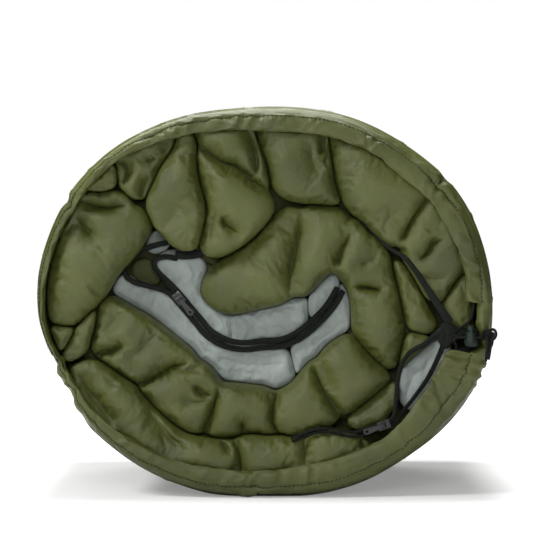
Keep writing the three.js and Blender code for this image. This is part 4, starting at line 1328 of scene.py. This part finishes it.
def hem(wrap):
    """The hem's tunnel, open at its gap."""
    columns = np.where(wrap.in_hem)[0]
    tunnel = wrap.rows[:STITCH_ROW + 1, columns].reshape(-1, 3)
    faces = grid_faces(STITCH_ROW + 1, len(columns), wrap=False)
    piece = new_piece("drawcord_hem_fabric", tunnel, faces, OLIVE, ["drawcord_hem"])
    make_normals_front(piece)
    thicken(piece, TUNNEL)
    subdivide(piece)


def rear_rows(wrap):
    """The rows that take the shell round its rear edge and a little way back inside."""
    edge = wrap.rows[-1]
    angle, radius = polar(edge[:, [0, 2]])
    none = np.zeros(len(angle))
    place = np.stack([MEAN_RADIUS * wrap.angles, none, none], axis=1)
    rows = []
    for turn in np.linspace(0, 1, 10)[1:]:
        bend = turn * math.pi * 0.62
        drawn = 2.2 * MM * turn * noise3(place, 11 * MM, 14)
        flat = on_ring(angle, radius - REAR_BEND * (1 - math.cos(bend)) + drawn)
        rows.append(at_depth(flat, wrap.stop + REAR_BEND * math.sin(bend) + drawn * 0.4))
    lip = rows[-1].copy()
    lip[:, 1] -= REAR_LIP
    return rows + [lip]


def shell(wrap):
    """The outer shell: tucked in behind the hem's stitches, over its shoulder and along to the rear."""
    seam = wrap.rows[STITCH_ROW]
    angle, radius = polar(seam[:, [0, 2]])
    tucked = at_depth(on_ring(angle, radius - 6 * MM), seam[:, 1] + 4 * MM)
    rows = [tucked, *wrap.rows[STITCH_ROW:], *rear_rows(wrap)]
    vertices = np.vstack(rows)
    vertices[:, 2] = np.maximum(vertices[:, 2], 0.0)
    faces = grid_faces(len(rows), RING_STEPS)
    cad = ["outer_shell", "outer_batting"]
    piece = new_piece("outer_shell_fabric", vertices, faces, OLIVE, cad)
    thicken(piece, SHELL)
    make_normals_outside(piece)


def shell_stitches(wrap):
    """The stitches of the hem's tunnel, and those of the shell's lengthwise quilt seams."""
    stitches("hem_stitch", wrap.rows[STITCH_ROW][wrap.in_hem])
    body = wrap.rows[len(HEM_PROFILE):]
    for seam in range(QUILT_SEAMS):
        path = body[:, seam * SEAM_STEPS]
        if path[:, 2].min() > FLOOR_CLEARANCE:
            out = (path[0, 0] - CENTRE[0], 0, path[0, 2] - CENTRE[1])
            stitches(f"quilt_stitch_{seam + 1}", path, facing=out)


def make_normals_front(piece):
    """Turns an open sheet's faces so that most of them look towards the open end."""
    total = sum((f.normal * f.area for f in piece.data.polygons), Vector())
    if total.y > 0:
        piece.data.flip_normals()


STITCH_LENGTH = 3.2 * MM
STITCH_GAP = 1.4 * MM
STITCH_STEP = 0.8 * MM
THREAD_RADIUS = 0.42 * MM
THREAD_SIDES = 6
# A stitch in section: share of its length, share of the thread's radius, share of the height it stands at.
STITCH_RINGS = ((0.0, 0.35, -0.5), (0.18, 1.0, 0.5), (0.5, 1.0, 1.0), (0.82, 1.0, 0.5), (1.0, 0.35, -0.5))


def stitches(name, path, raise_by=0.5 * MM, facing=(0, -1, 0)):
    """Short lengths of thread in a row along a path, lying on the fabric."""
    points = resample(path, STITCH_STEP, closed=False)
    step = int(round((STITCH_LENGTH + STITCH_GAP) / STITCH_STEP))
    length = int(round(STITCH_LENGTH / STITCH_STEP))
    facing = np.array(facing, float)
    vertices, faces = [], []
    for start in range(0, len(points) - length, step):
        a, b = points[start], points[start + length]
        along = (b - a) / (np.linalg.norm(b - a) + 1e-12)
        up = facing - along * (facing @ along)
        up /= np.linalg.norm(up) + 1e-12
        side = np.cross(along, up)
        faces += tube_faces(len(STITCH_RINGS), THREAD_SIDES, start=len(vertices))
        for share, size, lift in STITCH_RINGS:
            centre = a + (b - a) * share + up * raise_by * lift
            for k in range(THREAD_SIDES):
                turn = 2 * math.pi * k / THREAD_SIDES
                way = math.cos(turn) * up + math.sin(turn) * side
                vertices.append(centre + THREAD_RADIUS * size * way)
    make_normals_outside(new_piece(name, vertices, faces, DARK_THREAD))


# ---------------------------------------------------------------- hardware

def tube(name, path, radius, material, nodes=(), body="root", sides=14):
    """A round tube along a path of 3D points, closed at both ends."""
    path = np.asarray(path, float)
    tangent = np.gradient(path, axis=0)
    tangent /= np.linalg.norm(tangent, axis=1)[:, None]
    normal = np.cross(tangent[0], [0.0, 1.0, 0.0])
    if np.linalg.norm(normal) < 0.1:
        normal = np.cross(tangent[0], [1.0, 0.0, 0.0])
    rows = []
    for point, t in zip(path, tangent):
        normal = normal - t * (normal @ t)
        normal /= np.linalg.norm(normal)
        side = np.cross(t, normal)
        turn = np.linspace(0, 2 * math.pi, sides, endpoint=False)
        rows.append(point + radius * (np.cos(turn)[:, None] * normal + np.sin(turn)[:, None] * side))
    faces = tube_faces(len(rows), sides)
    piece = new_piece(name, np.vstack(rows), faces, material, nodes, body)
    make_normals_outside(piece)
    return piece


def hard_piece(node, material, rounding):
    """A hard piece with its CAD shape, its edges rounded off."""
    cad = frame["nodes"][node]
    shape = bmesh.new()
    shape.from_mesh(cad.data)
    bmesh.ops.remove_doubles(shape, verts=shape.verts, dist=0.005 * MM)
    bmesh.ops.dissolve_limit(shape, angle_limit=math.radians(1), verts=shape.verts, edges=shape.edges)
    mesh = bpy.data.meshes.new(node + "_finished")
    shape.to_mesh(mesh)
    shape.free()
    mesh.materials.clear()
    mesh.materials.append(material)
    mesh.shade_smooth()
    mesh.set_sharp_from_angle(angle=math.radians(50))
    piece = placed(mesh.name, mesh)
    bevel = piece.modifiers.new("rounded_edges", "BEVEL")
    bevel.width = rounding
    bevel.segments = 3
    bevel.limit_method = "ANGLE"
    bevel.angle_limit = math.radians(40)
    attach(piece, cad["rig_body"])
    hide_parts(node)


def hardware():
    for name in ZIPS:
        hard_piece(name + "_slider", ENAMEL, 0.4 * MM)
        hard_piece(name + "_pull", ENAMEL, 0.35 * MM)
    hard_piece("cord_lock_barrel", LOCK_PLASTIC, 0.5 * MM)
    hard_piece("cord_lock_plunger", LOCK_PLASTIC, 0.5 * MM)
    spring()


def spring():
    """The spring under the plunger: a wound wire."""
    low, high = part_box("cord_lock_spring")
    wire, turns, steps = 0.35 * MM, 3, 28
    middle = (low + high) / 2
    radius = (high.x - low.x) / 2 - wire
    turn = np.linspace(0, 2 * math.pi * turns, turns * steps + 1)
    rise = np.linspace(low.z + wire, high.z - wire, len(turn))
    path = np.stack([middle.x + radius * np.cos(turn), middle.y + radius * np.sin(turn), rise], axis=1)
    name, cad = "cord_lock_spring_wire", ["cord_lock_spring"]
    piece = tube(name, path, wire, WIRE, cad, body="cord_lock", sides=10)
    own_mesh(piece)


# ---------------------------------------------------------------- zippers

TAPE_STEP = 1.7 * MM
RIPPLE = 0.7 * MM         # how far a zipper waves out of its plane, away from its slider
TAPE_CLOSING = 0.85 * MM  # how much nearer the tapes come to each other where the chain stays closed
COIL_PITCH = 1.45 * MM
COIL_WIRE = 0.3 * MM
COIL_WIDTH = 0.78 * MM    # half of a coil's width, to the middle of its wire
COIL_SLACK = 0.3 * MM     # how much narrower it is where the slider runs
COIL_STEPS = 10           # points in one turn of the coil


def from_slider(zip_name, points):
    return np.linalg.norm(points - middle_of(zip_name + "_slider"), axis=1)


def ripple(zip_name, points):
    """How far a zipper stands off its plane at each [x, z]. Near the slider it lies flat."""
    free = smoothstep(36 * MM, 60 * MM, from_slider(zip_name, points))
    return RIPPLE * free * noise3(at_depth(points, 0), 24 * MM, 31)


def closed_chain(zip_name, points):
    """1 where a zipper's two halves run side by side beyond the slider's reach, 0 elsewhere."""
    halves = [nearest_on(mid_section(f"{zip_name}_tape_{half}"), points)[0] for half in ZIPS[zip_name]]
    together = smoothstep(5 * MM, 3.5 * MM, np.maximum(*halves))
    return together * smoothstep(40 * MM, 48 * MM, from_slider(zip_name, points))


def zip_tape(node, zip_name):
    """Woven tape: a flat ribbon with a rounded edge, that waves a little."""
    low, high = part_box(node)
    rim = relax(resample(mid_section(node), TAPE_STEP), 1)
    rim = rim + outward(rim) * (TAPE_CLOSING * closed_chain(zip_name, rim))[:, None]
    flat, faces = fill(rim, TAPE_STEP)
    distance, _ = nearest_on(rim, flat)
    half = (high.y - low.y) / 2 * (0.45 + 0.5 * smoothstep(0, 1.2 * MM, distance))
    middle = (low.y + high.y) / 2 + ripple(zip_name, flat)
    vertices = np.vstack([at_depth(flat, middle - half), at_depth(flat, middle + half)])
    faces = closed_faces(faces, len(flat), len(rim))
    make_normals_outside(new_piece(node + "_woven", vertices, faces, TAPE, [node]))
    return rim


def tape_stitches(name, rim, coil, y, zip_name):
    """The row of stitches that sews a tape to the fabric, along the edge away from the coil."""
    row = resample(rim - outward(rim) * 1.5 * MM, 1 * MM)
    sewn = nearest_on(coil, row)[0] > 2.6 * MM
    first = int(np.argmin(sewn))
    row, sewn = np.roll(row, -first, 0), np.roll(sewn, -first)
    runs = np.split(np.arange(len(row)), np.where(np.diff(sewn.astype(int)) != 0)[0] + 1)
    run = max((r for r in runs if sewn[r[0]]), key=len)
    path = row[run]
    stitches(name, at_depth(path, y + ripple(zip_name, path)), raise_by=0.25 * MM)


def zip_coil(node, zip_name):
    """A coil of plastic wire, wound along the middle line of its CAD strip."""
    low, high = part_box(node)
    line = centreline(node, (low.y + high.y) / 2, COIL_PITCH / COIL_STEPS)
    turn = 2 * math.pi * np.arange(len(line)) / COIL_STEPS
    width = COIL_WIDTH - COIL_SLACK * smoothstep(46 * MM, 38 * MM, from_slider(zip_name, line))
    flat = line + sideways(line) * (width * np.cos(turn))[:, None]
    y = (low.y + high.y) / 2 + ripple(zip_name, line) + ((high.y - low.y) / 2 - COIL_WIRE) * np.sin(turn)
    tube(node + "_wound", at_depth(flat, y), COIL_WIRE, COIL, [node], sides=6)


def zippers():
    for zip_name, halves in ZIPS.items():
        for half in halves:
            coil = mid_section(f"{zip_name}_coil_{half}")
            rim = zip_tape(f"{zip_name}_tape_{half}", zip_name)
            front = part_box(f"{zip_name}_tape_{half}")[0].y
            tape_stitches(f"{zip_name}_stitch_{half}", rim, coil, front, zip_name)
            zip_coil(f"{zip_name}_coil_{half}", zip_name)
    zip_tape("outer_zip_tape_top", "outer_zip")
    zip_ends()


# The folded tape where both halves of the outer zipper end, beside the cord lock: [x, z] in mm from the
# lock's middle.
ZIP_END = ((-31, 18), (-24, 19), (-13, 12), (10, 12), (10, 3), (-14, 2), (-21, -8), (-26, -12), (-33, -8),
           (-38, 4))
# The end of the inner zipper's upper tape, that goes on under the petals: [x, z] in mm from the upper left
# corner of that tape's box.
INNER_END = ((27, -5), (36, -6), (50, -5), (62, -1), (76, 3), (76, 13), (62, 9), (50, 4), (36, 3), (27, 4))


def tape_end(name, rim, y):
    """The loose or folded end of a zipper's tapes, with a few soft waves."""
    flat, faces = fill(rim, TAPE_STEP)
    distance, _ = nearest_on(rim, flat)
    lift = smoothstep(0, 4 * MM, distance) * (1 + noise3(at_depth(flat, 0), 9 * MM, 41)) * 0.9 * MM
    vertices = np.vstack([at_depth(flat, y - 0.6 * MM - lift), at_depth(flat, y)])
    faces = closed_faces(faces, len(flat), len(rim))
    make_normals_outside(new_piece(name, vertices, faces, TAPE))


def zip_ends():
    rim = relax(resample(middle_of("cord_lock_barrel") + np.array(ZIP_END) * MM, 1.5 * MM), 4)
    tape_end("outer_zip_tape_end_woven", rim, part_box("outer_zip_tape_top")[0].y)
    low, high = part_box("inner_zip_tape_upper")
    rim = relax(resample(np.array([low.x, high.z]) + np.array(INNER_END) * MM, 1.5 * MM), 3)
    tape_end("inner_zip_tape_end_woven", rim, low.y - 0.4 * MM)


# ---------------------------------------------------------------- drawcord and knot

CORD_RADIUS = 1.6 * MM
KNOT_RADIUS = 1.65 * MM   # the cord in its knot, pressed a little wider
COURSE_POINTS = 240       # points along the cord's way round the hem


def cord_through(name, points, radius, nodes=(), step=1.2 * MM):
    """A round cord along a rounded path through the given points."""
    path = relax(resample(points, step, closed=False), 8, closed=False)
    tube(name, path, radius, CORD, nodes)


def hem_course():
    """The cord's way round inside the hem."""
    top, bottom = hem_angles()
    spare = 4 * MM / MEAN_RADIUS
    angles = np.linspace(top + spare, bottom - spare, COURSE_POINTS)
    inner, outer = hem_radius(angles)
    order = np.arange(COURSE_POINTS)
    end = np.minimum(order, order[::-1])
    share = 0.5 - 0.22 * np.maximum(0, 1 - end / 8)
    return at_depth(on_ring(angles, inner + (outer - 3 * MM - inner) * share), (HEM_FRONT + HEM_BACK) / 2)


def drawcord():
    """The cord: round inside the hem, out at both sides of its gap, through the lock and into the knot."""
    lock = (LOCK_LOW + LOCK_HIGH) / 2
    lock.z = LOCK_LOW.z + 10.3 * MM
    course = hem_course()
    y = course[0, 1]
    strands = []
    for outlet, side, turn in ((course[0], -1, 1), (course[-1], 1, -1)):
        level = lock.y + side * (CORD_RADIUS + 0.2 * MM)
        strands.append(np.array([
            (outlet[0] - 1 * MM, y, outlet[2] - turn * 2 * MM),
            (lock.x - 14.5 * MM, y - 2 * MM, lock.z + turn * 7.5 * MM),
            (lock.x - 20.5 * MM, level + 2 * MM, lock.z + turn * 3 * MM),
            (lock.x - 17 * MM, level, lock.z),
            (lock.x, level, lock.z),
            (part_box("cord_knot")[0].x + 2 * MM, level, lock.z)]))
    path = np.vstack([strands[0][::-1], course, strands[1]])
    cord_through("drawcord_braid", path, CORD_RADIUS, ["drawcord"], step=2 * MM)


def cord_knot():
    """Both cord ends tied in an overhand knot, with two tails. Each loop is a trefoil curve."""
    low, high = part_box("cord_knot")
    tail_top = low.z + 14 * MM
    middle = np.array([(low.x + high.x) / 2, (low.y + high.y) / 2, (tail_top + high.z) / 2])
    middle += np.array([0, 0.5, 1]) * MM
    size = np.array([(high.x - low.x) / 2, 5.6 * MM, (high.z - tail_top) / 2]) - KNOT_RADIUS
    turn = np.linspace(0, 2 * math.pi, 140)
    for name, share, shift in (("cord_knot_first", 1.0, 0.0), ("cord_knot_second", 0.62, 0.55)):
        x = (np.sin(turn + shift) + 2 * np.sin(2 * turn + 2 * shift)) / 2.76
        z = (np.cos(turn + shift) - 2 * np.cos(2 * turn + 2 * shift) + 0.47) / 2.53
        y = -np.sin(3 * turn + 3 * shift)
        path = middle + np.stack([x, y, z], axis=1) * size * share
        tube(name, path, KNOT_RADIUS, CORD, ["cord_knot"] if share == 1.0 else ())
    for name, side in (("cord_tail_first", -1), ("cord_tail_second", 1)):
        start = middle + np.array([side * 1.5, -1.0, -3.0]) * MM
        bend = np.array([middle[0] + side * 1.7 * MM - 1.5 * MM, low.y + 4 * MM, tail_top])
        end = np.array([middle[0] + side * 1.5 * MM - 3.0 * MM, low.y + 4.5 * MM, low.z + (2.5 + side) * MM])
        cord_through(name, np.array([start, bend, end]), KNOT_RADIUS)


# ---------------------------------------------------------------- studio

# The lamps: place, width and power. The rim light points at the top of the hem, the others at the middle.
LAMPS = {
    "front_light": ((-0.1, -2.35, 0.85), 0.9, 19),
    "left_light": ((-1.3, -1.0, 1.5), 0.6, 29),
    "rim_light": ((0.0, 0.1, 1.6), 0.7, 34),
    "back_light": ((-0.2, 1.9, 1.2), 1.2, 12),
}
CAMERA_DISTANCE = 2.6
FRAME_WIDTH = 0.605       # how much of the front of the roll the picture shows, side to side
VIEW_MIDDLE = (0.0121, 0.2453)      # what the camera points at, [x, z]
VIEW_TILT = 1.5           # how far the camera looks down, in degrees


def floor():
    """A sheet of pale paper that glows a little, more so far away from the roll."""
    mesh = bpy.data.meshes.new("floor")
    grid = bmesh.new()
    bmesh.ops.create_grid(grid, x_segments=2, y_segments=2, size=12)
    grid.to_mesh(mesh)
    grid.free()
    piece = placed("floor", mesh)
    nodes = Nodes("floor_paper")
    tone = nodes.mix(nodes.patches(2, 2), (0.80, 0.80, 0.80, 1), (0.82, 0.82, 0.82, 1))
    seen = nodes.node("ShaderNodeLightPath").outputs["Is Camera Ray"]
    away = nodes.node("ShaderNodeVectorMath", {0: nodes.place}, operation="LENGTH").outputs["Value"]
    glow = nodes.math("MULTIPLY", nodes.ramp(away, 0.2, 0.9, 0.25, 1.0), seen)
    mesh.materials.append(nodes.set(Base_Color=tone, Roughness=0.8, Emission_Color=(1, 1, 1, 1),
                                    Emission_Strength=glow))


def surroundings():
    """White all round for the camera, and faint for everything else."""
    world = bpy.data.worlds.new("studio")
    world.use_nodes = True
    tree = world.node_tree
    seen = tree.nodes.new("ShaderNodeLightPath").outputs["Is Camera Ray"]
    brightness = tree.nodes.new("ShaderNodeMapRange")
    brightness.inputs["To Min"].default_value = 0.05
    tree.links.new(seen, brightness.inputs["Value"])
    background = tree.nodes["Background"].inputs
    tree.links.new(brightness.outputs[0], background["Strength"])
    background["Color"].default_value = (1, 1, 1, 1)
    bpy.context.scene.world = world


def lamps():
    low, high = CAD_BOX
    for name, (place, size, power) in LAMPS.items():
        target = Vector((0, low.y, high.z)) if name == "rim_light" else (low + high) / 2
        light = bpy.data.lights.new(name, "AREA")
        light.shape = "DISK"
        light.size = size
        light.energy = power
        lamp = placed(name, light)
        lamp.location = place
        lamp.rotation_euler = (target - Vector(place)).to_track_quat("-Z", "Y").to_euler()


def camera():
    data = bpy.data.cameras.new("camera")
    data.sensor_width = 36
    data.lens = data.sensor_width * CAMERA_DISTANCE / FRAME_WIDTH
    view = placed("camera", data)
    target = Vector((VIEW_MIDDLE[0], HEM_FRONT + 15 * MM, VIEW_MIDDLE[1]))
    tilt = math.radians(VIEW_TILT)
    view.location = target + Vector((0, -math.cos(tilt), math.sin(tilt))) * CAMERA_DISTANCE
    view.rotation_euler = (target - view.location).to_track_quat("-Z", "Y").to_euler()
    bpy.context.scene.camera = view
    bpy.context.scene.view_settings.view_transform = "Standard"


soft_pieces()
inner_folds()
zippers()
hardware()
drawcord()
cord_knot()
floor()
surroundings()
lamps()
camera()
